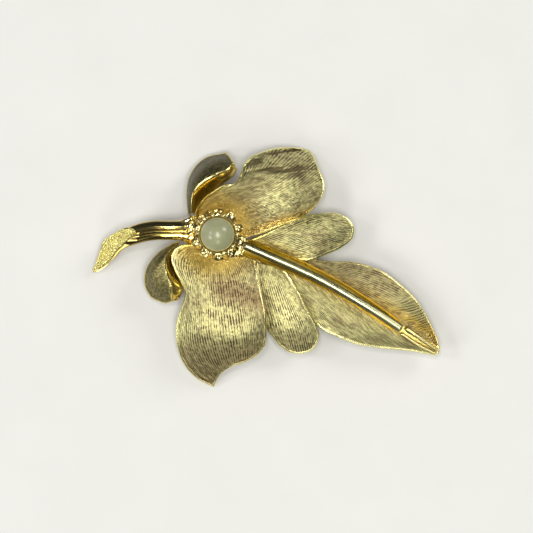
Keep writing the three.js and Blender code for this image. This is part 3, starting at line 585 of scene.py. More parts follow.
leaves = {
    "upper_sepal": {
        "guides": [
            [(-5.2, 3.5, 5.4), (-5.4, 5.2, 4.6), (-5.5, 7.3, 3.8), (-5.1, 9.9, 3), (-3.8, 12.2, 2.4),
             (-1.8, 13.7, 2.2),
             (1.5, 14.4, 2.4)],
            [(-4.9, 3.7, 5.9), (-5, 6.2, 6.2), (-4.4, 9, 6.4), (-2.6, 11.2, 6.4), (0.1, 12.6, 6),
             (2.2, 13.7, 4.2)],
            [(-4.7, 3.8, 6.1), (-4.6, 5.2, 6.8), (-4.3, 7.1, 7.3), (-3.4, 8.6, 7.6), (-1.8, 9.8, 7.7),
             (-0.2, 10.5, 7.5),
             (1.7, 11.3, 7), (2.8, 12.6, 5.8)],
            [(-4.4, 3.9, 5.5), (-4.1, 5.1, 5.7), (-2.9, 6.9, 6), (-0.9, 8.5, 6.2), (0.9, 9.6, 6.2),
             (2.2, 10.6, 6),
             (3.1, 11.7, 5.4)],
            [(-4.1, 3.8, 5.1), (-3.6, 4.9, 5.2), (-2.4, 6.5, 5.4), (-0.5, 8, 5.5), (1.2, 9.2, 5.5),
             (2.5, 10.2, 5.4),
             (3.3, 11.5, 5.1)],
        ],
        "kind": "grained", "columns": 130, "rows": 110, "crest": 0.5, "dark": 0.9,
    },
    "lower_sepal": {
        "guides": [
            [(-6.7, -1.2, 4.9), (-8.3, -1.8, 4.8), (-10.1, -2.9, 4.4), (-11.6, -4.4, 3.9),
             (-12.7, -6.4, 3.2),
             (-12.9, -8.6, 2.6), (-11.8, -10.9, 2.3), (-9.9, -11.9, 2.3)],
            [(-6.9, -1.6, 5.1), (-9.0, -3.1, 6.0), (-10.7, -5.3, 6.2), (-11.1, -8.0, 5.6),
             (-10.2, -10.4, 4.2),
             (-9.1, -12.0, 2.7)],
            [(-7.1, -1.9, 5.2), (-8.6, -3.1, 6.1), (-9.2, -4.7, 6.5), (-8.9, -6.5, 6.4), (-8.3, -8.2, 5.9),
             (-8.2, -10.0, 4.7), (-8.1, -11.7, 2.9)],
            [(-7.1, -2.3, 4.9), (-8.3, -3.6, 5.1), (-8.5, -4.9, 5.2), (-7.9, -6.7, 5.2), (-7.0, -8.5, 5.0),
             (-6.8, -10.0, 4.4), (-7.3, -11.5, 3.1)],
            [(-6.9, -2.6, 4.7), (-7.6, -3.8, 4.7), (-7.7, -5.0, 4.7), (-7.1, -6.9, 4.7), (-6.4, -8.6, 4.6),
             (-6.3, -10.0, 4.2), (-6.9, -11.3, 3.2)],
        ],
        "kind": "grained", "columns": 120, "rows": 100, "crest": 0.5, "dark": 0.66,
    },
    "upper_lobe": {
        "guides": [
            [(-3.8, 2.7, 5.9), (-3.8, 4.1, 6.6), (-2.5, 6.1, 7.2), (-0.6, 7.6, 7.6), (1.1, 8.6, 7.7),
             (3.2, 8.9, 7.4),
             (4.1, 10.6, 6.6), (4.6, 12.2, 5.6), (6, 13.8, 4.4)],
            [(-2.7, 3.7, 5.8), (0.2, 6.4, 7.1), (3.5, 8.2, 7.9), (6.8, 10.5, 7.6), (8.6, 12.6, 6.3),
             (10.4, 15.2, 3.4)],
            [(-0.1, 4.5, 5.8), (4, 6.2, 7.2), (9, 9, 8.1), (13, 12.2, 6.5), (16.1, 14.7, 1)],
            [(1.6, 4.1, 5.8), (7, 5.6, 7.3), (13, 8.2, 7.8), (17.6, 11.8, 3.2)],
            [(3, 2.6, 5.8), (8, 3.8, 7.2), (14, 6.1, 7.4), (18.7, 8.8, 4.2)],
            [(3.8, 0.8, 5.8), (8, 2, 6.9), (13, 4, 7.2), (18.2, 6.5, 4.9)],
            [(4.3, -0.6, 5.9), (7.8, 0.4, 6.6), (11.5, 1.8, 6.9), (14.8, 3.1, 6.5), (16.9, 4.7, 5.6)],
        ],
        "kind": "engraved", "lines": 44, "rows": 120, "seed": 3,
    },
    "upper_side_lobe": {
        "guides": [
            [(5.8, -1.0, 5.25), (8.8, 0.4, 5.3), (12.3, 2.0, 5.3), (15.3, 3.2, 5.1), (18.0, 3.7, 4.6),
             (20.7, 3.8, 4.0)],
            [(7.5, -1.9, 5.5), (11.5, -0.6, 6.2), (15.5, 1.0, 6.4), (19.5, 2.3, 5.8), (22.8, 2.9, 3.9)],
            [(9.4, -2.7, 5.6), (13.3, -1.6, 6.5), (17.0, -0.3, 6.6), (20.5, 0.9, 5.6), (23.9, 1.2, 3.8)],
            [(11.2, -3.5, 5.6), (14.5, -3.1, 6.1), (17.6, -2.0, 6.1), (20.5, -0.9, 5.3), (23.6, -0.6, 3.8)],
            [(12.6, -4.2, 5.6), (15.3, -4.5, 5.7), (16.9, -4.3, 5.5), (18.8, -3.5, 4.9), (21.4, -2.4, 4.3),
             (22.9, -1.4, 3.9)],
        ],
        "kind": "engraved", "lines": 22, "rows": 100, "seed": 5,
    },
    "tip_blade": {
        "guides": [
            [(17.2, -4.5, 4.75), (20.2, -4.8, 4.6), (23.2, -4.8, 4.4), (26.4, -5.5, 4.2), (29.3, -6.7, 3.9),
             (32.1, -8.8, 3.5), (34.8, -11.4, 3.2), (36.8, -14.5, 3), (38.8, -18.9, 3.3)],
            [(15, -4.2, 4.8), (20.3, -5.9, 5.5), (25.3, -7.7, 5.7), (30.2, -10.8, 5.2), (34.6, -14.8, 4.3),
             (38.8, -19.3, 3.4)],
            [(13, -4.2, 4.8), (18.8, -6.9, 5.15), (23.5, -9.2, 5.1), (28, -12.1, 4.9), (32.6, -15.5, 4.4),
             (38.9, -19.7, 3.4)],
            [(11.9, -5.1, 4.8), (18.6, -7.9, 4.95), (23, -10.3, 4.95), (27.4, -13, 4.8), (32, -16.4, 4.3),
             (38.9, -20.3, 3.4)],
            [(12, -6.4, 4.8), (18.2, -9.2, 5.15), (22.6, -11.6, 5.1), (27, -14.3, 4.85), (31.5, -17.4, 4.3),
             (38.8, -20.7, 3.3)],
            [(14, -10.1, 4.75), (18.1, -12.5, 5.6), (22.5, -14.8, 5.7), (27, -16.9, 5), (32, -18.7, 4.1),
             (38.6, -20.95, 3.2)],
            [(16.9, -15.1, 4.3), (18.4, -16.6, 4.3), (20.9, -17.8, 4.1), (24.6, -19.2, 3.8),
             (29, -19.9, 3.5),
             (33.3, -20.3, 3.2), (38.4, -21.2, 3)],
        ],
        "kind": "veined", "lines": 56, "columns": 184, "rows": 230, "slant": 0.46, "lengthLines": 34,
        "seed": 7,
        "speeds": [0.6, 0.72, 0.93, 1.0, 0.95, 0.8, 0.66],
    },
    "lower_side_lobe": {
        "guides": [
            [(6.8, -4.9, 4.95), (6.9, -7.4, 5), (7.5, -10.6, 4.9), (8.1, -13.9, 4.7), (8.8, -16.6, 4.3),
             (10.7, -19.3, 3.7)],
            [(8.2, -5.2, 5.3), (9.1, -9, 5.8), (10.2, -13, 6), (11.5, -16.8, 5.6), (12.7, -20.6, 3.6)],
            [(9.6, -5.6, 5.5), (11.2, -9.2, 6.1), (12.6, -13, 6.4), (13.9, -16.6, 5.9), (15, -20.8, 3.6)],
            [(10.7, -5.9, 5.6), (12.8, -9.6, 6), (14.6, -13.2, 6.1), (16.1, -16.6, 5.4),
             (16.9, -19.9, 3.7)],
            [(11.6, -6.2, 5.6), (12.7, -7.6, 5.7), (14.3, -10.3, 5.7), (15.8, -13.4, 5.5),
             (17.1, -15.5, 5.1),
             (17.7, -17.2, 4.6), (17.7, -18.4, 4.1)],
        ],
        "kind": "engraved", "lines": 22, "rows": 100, "seed": 9,
    },
    "lower_lobe": {
        "guides": [
            [(-4.2, -1.7, 5.8), (-6.2, -1.9, 6.1), (-7.6, -2.7, 6.2), (-8.1, -4.3, 6.2), (-7.4, -6.4, 6.1),
             (-6.4, -8.4, 5.9), (-5.6, -10, 5.5), (-6.3, -12.7, 4.6), (-7.1, -15, 3.9), (-7.3, -18.1, 3.1),
             (-6.2, -22.2, 1.9), (-3.8, -25.1, 1.3), (-0.8, -26.7, 0.9)],
            [(-3.4, -2.6, 5.8), (-4.8, -5.5, 6.7), (-4.2, -9.5, 7), (-4.6, -13.5, 6.5), (-5, -18, 5.2),
             (-4, -21.8, 3.6),
             (-0.5, -26, 1.2)],
            [(-2.2, -3.4, 5.8), (-2.5, -7, 6.8), (-2.2, -12, 7.5), (-2.2, -17, 7.3), (-1, -21.5, 5),
             (0.5, -24.5, 2.4)],
            [(0, -4.1, 5.8), (0.2, -8, 6.7), (0.8, -13, 7.4), (1.4, -18, 7.5), (2.5, -23.1, 3.8)],
            [(2, -4, 5.8), (3.4, -8, 6.7), (4.2, -13, 7.4), (4.9, -18, 7.2), (5.1, -22.2, 4.2)],
            [(4.2, -3.8, 5.8), (5.7, -7.6, 6.5), (6.5, -12, 7), (7.1, -16.5, 6.8), (7.1, -20.9, 4.5)],
            [(6.6, -4.5, 5.8), (7, -7.3, 6.4), (7.6, -10.2, 6.8), (8.3, -13.4, 6.7), (8.5, -16.4, 6),
             (8.3, -19.4, 4.7)],
        ],
        "kind": "engraved", "lines": 42, "rows": 140, "seed": 11,
    },
}
sheetThickness = 0.6
rimWidth = 0.32
cutting = {
    "engraved": {"line": 0.09, "grain": 0.06},    # depths in millimetres
    "grained": {"line": 0.0, "grain": 0.16},
    "dash": 0.9, "uneven": 0.75, "wobble": 0.35, "wobbleScale": 420.0, "grainScale": 2400.0,
}


def edgeDistance(grid, sides):
    # distance in the sheet from the nearest of the named borders
    borders = {"left": grid[:, 0], "right": grid[:, -1], "end": grid[-1], "base": grid[0]}
    points = grid.reshape(-1, 3)
    nearest = np.full(len(points), 1e9)
    for side in sides:
        border = borders[side]
        border = border[:: max(1, len(border) // 90)]
        for start in range(0, len(points), 8000):
            block = points[start:start + 8000]
            gap = np.linalg.norm(block[:, None] - border[None], axis=2).min(1)
            nearest[start:start + 8000] = np.minimum(nearest[start:start + 8000], gap)
    return nearest.reshape(grid.shape[:2])


def surfaceUv(grid):
    # distances across and along the sheet, in metres, from its middle line and its base
    across = np.cumsum(np.linalg.norm(np.diff(grid, axis=1, prepend=grid[:, :1]), axis=2), axis=1)
    across -= across[:, across.shape[1] // 2][:, None]
    along = np.cumsum(np.linalg.norm(np.diff(grid, axis=0, prepend=grid[:1]), axis=2), axis=0)
    return np.stack([across, along], axis=2) * mm


def leafRelief(name, leaf, grid, us, vs):
    # raised rims, folds and pleats added to the plain loft; returns the grid and its finish fields, which
    # include painted shade and painted amber reflection
    x, y = grid[..., 0], grid[..., 1]
    u = np.broadcast_to(us[None], x.shape)
    v = np.broadcast_to(vs[:, None], x.shape)
    fromHub = np.hypot(x, y)
    sides = ["left", "end"] if leaf["kind"] == "grained" else ["left", "right", "end"]
    edge = edgeDistance(grid, sides)
    rim = 1 - smoothstep(rimWidth * 0.6, rimWidth, edge)
    lift = 0.07 * rim
    hollow = np.zeros_like(x)
    warm = np.zeros_like(x)
    groove = np.zeros_like(x)
    polish = 0.75 * rim
    if leaf["kind"] == "grained":
        crest = gaussian(u, leaf["crest"], 0.035)
        inner = smoothstep(leaf["crest"] - 0.01, leaf["crest"] + 0.03, u)
        lift += 0.06 * crest
        polish = np.maximum(polish, np.maximum(crest, inner))
        # painted shade on the sepal's outer face, lighter at the rim; painted amber reflection on the inner
        # wall
        hollow = leaf["dark"] * (1 - inner) * (1 - crest) * (1 - 0.6 * rim)
        warm = inner * (1 - crest)
        engraving = np.zeros_like(x)
        graining = 1 - np.clip(polish, 0, 1)
    else:
        nearHub = 1 - smoothstep(5.0, 7.5, fromHub)
        polish = np.maximum(polish, 0.15 * nearHub)
        # painted amber reflection near the hub and beside the rib, painted shade near the hub, and a random
        # darker tone in patches
        warm = 0.9 * (1 - smoothstep(5.5, 10.0, fromHub))
        hollow = 0.35 * (1 - smoothstep(4.6, 8.0, fromHub))
        hollow = np.maximum(hollow, 0.55 * np.clip(valueNoise(x * 0.33 + 2, y * 0.33, 71) + 0.1, 0, 1))
        beside = (x - 4.46) * 0.45 + (y + 1.49) * 0.893    # distance from the rib, measured square to it
        warm = np.maximum(warm, gaussian(beside, 0.8, 1.5) * smoothstep(3.0, 6.0, x))
        engraving = (1 - rim) * (1 - 0.5 * nearHub)
        graining = 1 - rim
    if name == "upper_lobe":
        # painted shade in a band on the hub side, painted amber reflection along the rib
        hollow = np.maximum(hollow, 0.45 * gaussian(x - 2.2 * y, 4.0, 6.0) * smoothstep(6.0, 3.0, y))
        warm = np.maximum(warm, gaussian(y - 0.29 * (x - 4.8), 0.5, 1.0))
        polish = np.maximum(polish, 0.6 * gaussian(y - 0.29 * (x - 4.8), 0.4, 0.6))
        # crumpled far edge, with painted shade in its wrinkles
        fold = smoothstep(9.8, 12.2, y + 0.1 * x) * (1 - rim)
        wrinkle = valueNoise(x * 0.3 + 3, y * 1.5 - x * 0.25, 21)
        lift += fold * (0.3 * wrinkle + 0.08 * valueNoise(x * 0.9, y * 4.0, 22))
        torn = wrinkle + 0.35 * valueNoise(x * 1.2, y * 4.0, 23)
        groove = np.maximum(groove, 0.9 * fold * smoothstep(-0.1, -0.5, torn))
        lift += 0.28 * gaussian(u, 0.0, 0.03) * (1 - smoothstep(0.5, 0.62, v))
    if name == "lower_lobe":
        # painted shade across the top near the hub and towards the far point
        hollow = np.maximum(hollow, 0.95 * gaussian(y + 0.25 * x, -9.5, 3.4) * smoothstep(-4.0, 1.0, x))
        hollow = np.maximum(hollow, 0.65 * smoothstep(-17.5, -20.5, y))
        # pleats that run down to the curled point, with painted shade in their valleys
        pleat = smoothstep(0.6, 0.85, v) * (1 - smoothstep(0.1, 0.42, u))
        wave = np.sin(u * 2 * math.pi * 12 + 2 * v)
        lift += pleat * 0.12 * wave * (1 - rim)
        groove = np.maximum(groove, 0.6 * pleat * smoothstep(0.1, -0.7, wave))
    if name == "tip_blade":
        rib = np.abs(u - 0.5)
        # painted shade on the upper half
        hollow = np.maximum(hollow, 0.6 * smoothstep(0.42, 0.3, u))
        # bare polished strip beside the rib, with painted amber reflection
        smooth = 1 - smoothstep(0.08, 0.14, rib - 0.03 * np.sin(v * 7))
        polish = np.maximum(polish, 0.6 * smooth)
        warm = np.maximum(warm, 0.9 * (1 - smoothstep(0.12, 0.24, rib)))
        engraving = engraving * (1 - smooth)
        graining = graining * (1 - smooth)
        # short cross cuts near the tip, on the upper half only, with painted shade in them
        inward = u + 0.05 * np.sin(v * 60)
        stroke = smoothstep(0.4, 0.6, v) * (1 - smoothstep(0.16, 0.3, inward)) * smoothstep(0.15, 0.3, edge)
        scratch = np.sin(2 * math.pi * (44 * v - 3 * u + 0.5 * valueNoise(u * 5, v * 22, 31)))
        lift += stroke * 0.07 * scratch
        fading = 0.75 + 0.25 * valueNoise(u * 9, v * 50, 32)
        groove = np.maximum(groove, stroke * smoothstep(0.35, -0.2, scratch) * fading)
        hollow = hollow * (1 - stroke)
        engraving = engraving * (1 - 0.8 * stroke)
    grid = grid.copy()
    grid[..., 2] += lift
    return grid, {"polish": polish, "hollow": hollow, "warm": warm, "groove": groove,
                  "engraving": engraving, "graining": graining}


def makeLeaf(name, leaf):
    perLine = 6
    us = np.linspace(0, 1, leaf["columns"] + 1 if "columns" in leaf else leaf["lines"] * perLine + 1)
    vs = np.concatenate([np.linspace(0, 0.92, leaf["rows"] - 20), np.linspace(0.92, 1, 21)[1:]])
    grid = loft(leaf["guides"], vs, us, leaf.get("speeds"))
    uv = surfaceUv(grid)
    grid, fields = leafRelief(name, leaf, grid, us, vs)
    along = uv[..., 1]
    if leaf["kind"] == "veined":
        slant = leaf["slant"] * np.abs(us - 0.5)
        slanted = (vs[:, None] - slant[None]) * leaf["lines"] + 200
        lengthwise = us[None] * leaf["lengthLines"] + 12 * vs[:, None] + 300
        # fine lines run along the upper half and out from the rib on the lower half
        upperHalf = us[None] < 0.5
        phase = np.where(upperHalf, lengthwise, slanted)
        along = np.where(upperHalf, uv[..., 1], uv[..., 0])
    else:
        phase = np.broadcast_to(us[None] * leaf.get("lines", 1), grid.shape[:2])
    # the underside gets a little painted shade and painted amber reflection, the rim none
    piece = shellFromGrid(name + "_leaf", grid, sheetThickness, {
        "polish": (np.clip(fields["polish"], 0, 1), 0.2, 0.9),
        "hollow": (np.clip(fields["hollow"], 0, 1), 0.25, 0.0),
        "warm": (np.clip(fields["warm"], 0, 1), 0.3, 0.0),
        "groove": (np.clip(fields["groove"], 0, 1), 0.0, 0.0),
        "engraving": (fields["engraving"], 0.0, 0.0),
        "graining": (fields["graining"], 0.4, 0.0),
        "linePhase": (phase, 0.0, 0.0), "lineAlong": (along, 0.0, 0.0),
    }, uv)
    smoothShade(piece)
    grained = leaf["kind"] == "grained"
    depth = cutting["grained" if grained else "engraved"]
    bakeNodes(piece, engraver, Line_Depth=depth["line"] * mm, Line_Wobble=cutting["wobble"],
              Wobble_Scale=cutting["wobbleScale"], Dash_Length=cutting["dash"] * mm,
              Uneven_Depth=cutting["uneven"], Grain_Depth=depth["grain"] * mm,
              Grain_Scale=cutting["grainScale"],
              Seed=leaf.get("seed", 1), Finish=grainedGold if grained else satinGold)
    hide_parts(name)
    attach(piece, "brooch")
    print("leaf", name, len(piece.data.polygons), "faces")
    return piece


for leafName, leaf in leaves.items():
    makeLeaf(leafName, leaf)


def finishPiece(piece, node, body="brooch", material=None):
    # gives a finished piece its material and hands it over in place of its solid
    if material:
        piece.data.materials.clear()
        piece.data.materials.append(material)
    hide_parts(node)
    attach(piece, body)
    print(piece.name, len(piece.data.polygons), "faces")
    return piece


def sweepAlong(name, line, ts, section, capStart=0.0, capEnd=0.0):
    # closed bar along a line; section(t) gives sideways and upward distances in mm, and the marks
    centres = evenAlong(line, ts)
    ahead = np.gradient(centres, axis=0)
    ahead /= np.linalg.norm(ahead, axis=1, keepdims=True)
    sideways = np.cross([0, 0, 1.0], ahead)
    sideways /= np.linalg.norm(sideways, axis=1, keepdims=True)
    upward = np.cross(ahead, sideways)
    rows = []
    marks = []
    for k, t in enumerate(ts):
        across, up, mark = section(t)
        rows.append(centres[k] + np.outer(across, sideways[k]) + np.outer(up, upward[k]))
        marks.append(mark)
    rows = np.array(rows)
    count, sides = rows.shape[:2]
    first = rows[0].mean(0) - ahead[0] * capStart
    last = rows[-1].mean(0) + ahead[-1] * capEnd
    verts = np.concatenate([rows.reshape(-1, 3), [first, last]])
    faces = []
    for j in range(count - 1):
        for i in range(sides):
            a = j * sides + i
            b = j * sides + (i + 1) % sides
            faces.append((a, b, b + sides, a + sides))
    base = (count - 1) * sides
    for i in range(sides):
        faces.append((i, count * sides, (i + 1) % sides))
        faces.append((base + i, base + (i + 1) % sides, count * sides + 1))
    attributes = {}
    for key in (marks[0] or {}):
        attributes[key] = np.concatenate([np.array([m[key] for m in marks]).ravel(), [0, 0]])
    piece = pieceFrom(name, placed(verts), faces, attributes)
    faceOutwards(piece)
    smoothShade(piece, 50)
    return piece


stem = {
    "line": [(-4.0, 0.75, 5.0), (-8, 0.75, 5.15), (-11, 0.75, 5.0), (-13.2, 0.4, 4.7), (-14.9, -0.15, 4.3),
             (-16.3, -0.6, 3.85),
             (-17.8, -1.5, 3.2), (-19.3, -3.3, 2.3), (-20.5, -5.0, 1.5), (-21.6, -6.3, 0.85)],
    "halfWidth": [2.75, 1.76, 1.68, 1.72, 1.72, 1.66, 1.6, 1.5, 1.1, 0.4],
    "halfHeight": [1.15, 1.15, 1.15, 1.15, 1.12, 1.08, 1.0, 0.9, 0.7, 0.4],
    "ridges": [(0.42, 0.05, 0.05), (0.02, 0.13, 0.05), (-0.3, 0.12, 0.045), (-0.62, 0.1, 0.04)],
    "sides": 120, "steps": 130,
    # the slanting cut, height = base + x * alongX + y * alongY
    "cutBase": 12.56, "cutX": 0.485, "cutY": 0.209,
}


def makeStem():
    angles = np.linspace(0, 2 * math.pi, stem["sides"], endpoint=False)
    stations = np.linspace(0, 1, len(stem["line"]))

    def section(t):
        half = np.interp(t, stations, stem["halfWidth"])
        high = np.interp(t, stations, stem["halfHeight"])
        across = np.cos(angles)
        top = np.sin(angles) > 0
        rise = np.where(top, high, 0.9 * high) * np.sin(angles)
        fade = smoothstep(0.0, 0.1, t) * (1 - smoothstep(0.75, 0.9, t))
        side = -across    # 1 on the side of the large upper leaf
        ridge = sum(height * gaussian(side, place, width) for place, height, width in stem["ridges"])
        scoop = -0.16 * gaussian(side, 0.7, 0.16) - 0.08 * gaussian(side, -0.15,
                                                                    0.1) - 0.08 * gaussian(side, -0.4, 0.08)
        rise = rise + np.where(top, (ridge + scoop) * fade, 0)
        rough = 0.14 * (1 - smoothstep(0.03, 0.16, t))
        bumpy = rough * valueNoise(angles * 4 + t * 20, np.sin(angles) * 2 + t * 34, 41)
        scale = 1 + bumpy
        # painted shade: dark bands along the upper side, cleared on the ridges, lighter at both edges
        band = 0.95 * gaussian(side, 0.6, 0.24) + 0.8 * smoothstep(0.1, -0.1, side) * smoothstep(0.04, 0.3,
                                                                                                 t)
        shade = np.clip(band, 0, 1) * smoothstep(0.04, 0.16, t) * (1 - 0.85 * np.clip(ridge * 10, 0, 1))
        shade = np.maximum(shade, 0.45 * smoothstep(0.1, 0.2, t))
        shade = shade * (1 - 0.8 * smoothstep(0.9, 0.97, np.abs(side)))
        # painted amber reflection, stronger away from the large upper leaf; underside evenly shaded
        marks = {"polish": np.full(len(angles), 0.8), "warm": 0.9 - 0.6 * smoothstep(0.1, 0.5, side),
                 "hollow": np.full(len(angles), 0.1), "groove": np.where(top, shade, 0.3)}
        return half * across * scale, rise * scale, marks

    piece = sweepAlong("stem_bar", stem["line"], np.linspace(0, 1, stem["steps"]), section)
    build = bmesh.new()
    build.from_mesh(piece.data)
    normal = Vector((-stem["cutX"], -stem["cutY"], 1)).normalized()
    onPlane = Vector(placed([[-18.0, -3.0,
                              stem["cutBase"] - 18.0 * stem["cutX"] - 3.0 * stem["cutY"] - 0.12]])[0])
    bmesh.ops.bisect_plane(build, geom=build.verts[:] + build.edges[:] + build.faces[:], plane_co=onPlane,
                           plane_no=normal, clear_outer=True)
    holes = [e for e in build.edges if e.is_boundary]
    bmesh.ops.holes_fill(build, edges=holes, sides=0)
    bmesh.ops.recalc_face_normals(build, faces=build.faces)
    build.to_mesh(piece.data)
    build.free()
    smoothShade(piece, 45)
    finishPiece(piece, "stem", material=polishedGold)


makeStem()

stemEnd = {
    "outer": [(-14.7, 0.9), (-15.5, 1.2), (-16.6, 1.05), (-17.7, 0.45), (-18.8, -0.25), (-19.9, -0.9),
              (-20.4, -1.7),
              (-20.7, -2.8), (-21.3, -4.5), (-22.1, -6.5)],
    "inner": [(-14.45, 0.45), (-14.9, -0.1), (-16.0, -1.05), (-17.1, -2.2), (-18.1, -3.1), (-18.7, -4.0),
              (-19.7, -5.2),
              (-20.9, -6.05), (-22.0, -6.6)],
    "thickness": 0.45, "crown": 0.3, "stipple": 0.26,
}


def makeStemEnd():
    def onCut(points, lift):
        points = np.asarray(points, float)
        height = stem["cutBase"] + points[:, 0] * stem["cutX"] + points[:, 1] * stem["cutY"] + lift
        return np.column_stack([points, height])

    vs = np.linspace(0, 1, 150)
    us = np.linspace(0, 1, 60)
    outer = evenAlong(onCut(stemEnd["outer"], 0.3), np.linspace(0, 1, 12))
    inner = evenAlong(onCut(stemEnd["inner"], 0.3), np.linspace(0, 1, 12))
    guides = []
    for share in (0, 0.25, 0.5, 0.75, 1):
        middle = outer * (1 - share) + inner * share
        middle[:, 2] += stemEnd["crown"] * math.sin(math.pi * share)
        guides.append(middle)
    grid = loft(guides, vs, us)
    uv = surfaceUv(grid)
    edge = edgeDistance(grid, ["left", "right", "base"])
    rim = 1 - smoothstep(0.16, 0.3, edge)
    x, y = grid[..., 0], grid[..., 1]
    grain = valueNoise(x * 4.2, y * 4.2, 51) + 0.6 * valueNoise(x * 8.5, y * 8.5, 52)
    grid[..., 2] += 0.1 * rim + (1 - rim) * stemEnd["stipple"] * grain * 0.6
    chewed = (1 - smoothstep(0.05, 0.35,
                             edgeDistance(grid, ["left"]))) * gaussian(np.broadcast_to(vs[:, None],
                                                                                       x.shape), 0.33, 0.16)
    grid[..., 2] += 0.25 * chewed * valueNoise(x * 5, y * 5, 53)
    grid[..., 0] += 0.2 * chewed * valueNoise(x * 3.5 + 7, y * 3.5, 54)
    # painted shade in the low points of the stipple, a little on the underside and more on the rim's sides
    piece = shellFromGrid("stem_end", grid, stemEnd["thickness"], {
        "polish": (rim * 0.9, 0.2, 0.9), "hollow": (0.25 * np.clip(-grain, 0, 1) * (1 - rim), 0.2, 0.5),
    }, uv, 0.08)
    smoothShade(piece)
    finishPiece(piece, "stem_end_plate", material=stippledGold)


makeStemEnd()

midrib = {
    "line": [(4.9, -2.2, 6.35), (9.2, -3.8, 6.25), (14.4, -5.95, 6.1), (18.8, -8.1, 6.0),
             (23.2, -10.55, 5.9),
             (27.6, -13.35, 5.6), (31.3, -15.95, 5.05)],
    "rodLine": [(4.5, -1.8, 7.3), (9.2, -3.85, 7.25), (14.4, -6.15, 7.1), (18.6, -8.2, 7.0),
                (23.2, -10.85, 6.9),
                (27.8, -13.65, 6.6), (32.3, -16.6, 6.05)],
    "halfWidth": (1.55, 1.15), "rodRadius": 0.74,
}


def makeChannel():
    # outline of one half: underside, outer wall, raised rim and the hollow beside the rod
    profile = [(1.0, -0.2), (1.02, 0.3), (1.0, 0.5), (0.96, 0.56), (0.92, 0.5), (0.88, 0.38), (0.8, 0.28),
               (0.7, 0.17),
               (0.55, 0.06), (0.3, 0.02)]
    profile = profile + [(-a, b) for a, b in reversed(profile)] + [(-0.5, -0.2), (0.5, -0.2)]
    across = np.array([a for a, b in profile])
    up = np.array([b for a, b in profile])

    def section(t):
        half = midrib["halfWidth"][0] * (1 - t) + midrib["halfWidth"][1] * t
        wobble = 0.02 * math.sin(t * 57) + 0.015 * math.sin(t * 131 + 1)
        # painted shade in the trough, painted amber reflection there and fainter on the raised rims
        marks = {"polish": np.where(up < 0.45, 0.1, 0.6), "hollow": np.where(up < 0.03, 0.3, 0.0),
                 "warm": np.where(up < 0.45, 1.0, 0.55)}
        return across * (half + wobble), up, marks

    piece = sweepAlong("channel_strip", midrib["line"], np.linspace(0, 1, 160), section)
    finishPiece(piece, "midrib_channel", material=rodGold)


def makeRod():
    angles = np.linspace(0, 2 * math.pi, 40, endpoint=False)
    ts = np.concatenate([[0, 0.001, 0.003, 0.006, 0.010, 0.015], np.linspace(0.02, 0.985, 200),
                         [0.992, 0.997, 1.0]])

    def section(t):
        start = math.sqrt(max(1 - (1 - min(t / 0.018, 1)) ** 2, 0.02))
        finish = math.sqrt(max(1 - (max(t - 0.99, 0) / 0.0105) ** 2, 0.05))
        radius = midrib["rodRadius"] * min(start,
                                           finish) * (1 + 0.008 * math.sin(t * 43) + 0.006
                                                      * math.sin(t * 97 + 2))
        # painted shade along the rod's sides and all round its underside
        side = smoothstep(0.15, 0.7, np.abs(np.cos(angles)))
        marks = {"polish": np.full(len(angles), 0.2), "hollow": np.full(len(angles), 0.0),
                 "groove": np.where(np.sin(angles) > 0, 0.85 * side, 0.9)}
        return radius * np.cos(angles), radius * np.sin(angles), marks

    piece = sweepAlong("rib_rod", midrib["rodLine"], ts, section)
    smoothShade(piece)
    finishPiece(piece, "midrib_rod", material=rodGold)


veins = {
    "tip_vein_upper": {"line": [(32.85, -16.35, 5.15), (35.8, -18.4, 4.7), (38.75, -20.35, 3.9)],
                       "half": 0.44, "height": 0.55},
    "tip_vein_lower": {"line": [(32.1, -17.3, 5.0), (35.1, -19.35, 4.5), (38.3, -20.95, 3.8)], "half": 0.34,
                       "height": 0.42},
}


def makeVein(node, vein):
    angles = np.linspace(0, 2 * math.pi, 32, endpoint=False)

    def section(t):
        narrow = (1 - 0.4 * t) * math.sqrt(max(1 - (1 - min(t / 0.06, 1)) ** 2, 0.03))
        up = np.where(np.sin(angles) > 0, vein["height"], 0.14) * np.sin(angles) * narrow
        # painted shade on the wire's sides, and a light painted amber reflection
        side = smoothstep(0.25, 0.7, np.abs(np.cos(angles)))
        marks = {"polish": np.full(len(angles), 0.5), "hollow": 0.0 * side,
                 "warm": np.full(len(angles), 0.35), "groove": 0.85 * side}
        return vein["half"] * narrow * np.cos(angles), up, marks

    piece = sweepAlong(node + "_wire", vein["line"], np.linspace(0, 1, 70), section, capEnd=0.1)
    finishPiece(piece, node, material=rodGold)


makeChannel()
makeRod()
for veinName, vein in veins.items():
    makeVein(veinName, vein)


def turnProfile(name, profile, sides):
    # turned piece about the pearl's axis
    angles = np.linspace(0, 2 * math.pi, sides, endpoint=False)
    verts = []
    faces = []
    rings = []
    for r, z in profile:
        if r < 1e-6:
            rings.append([len(verts)])
            verts.append((0, 0, z))
        else:
            rings.append(list(range(len(verts), len(verts) + sides)))
            verts += [(r * math.cos(a), r * math.sin(a), z) for a in angles]
    for near, far in zip(rings[:-1], rings[1:]):
        for i in range(sides):
            j = (i + 1) % sides
            if len(near) == 1 and len(far) > 1:
                faces.append((near[0], far[i], far[j]))
            elif len(far) == 1 and len(near) > 1:
                faces.append((near[i], far[0], near[j]))
            elif len(near) > 1:
                faces.append((near[i], far[i], far[j], near[j]))
    piece = pieceFrom(name, placed(verts), faces)
    faceOutwards(piece)
    smoothShade(piece, 40)
    return piece


pearl = {"radius": 3.0, "hole": 0.47, "holeTop": -0.55}


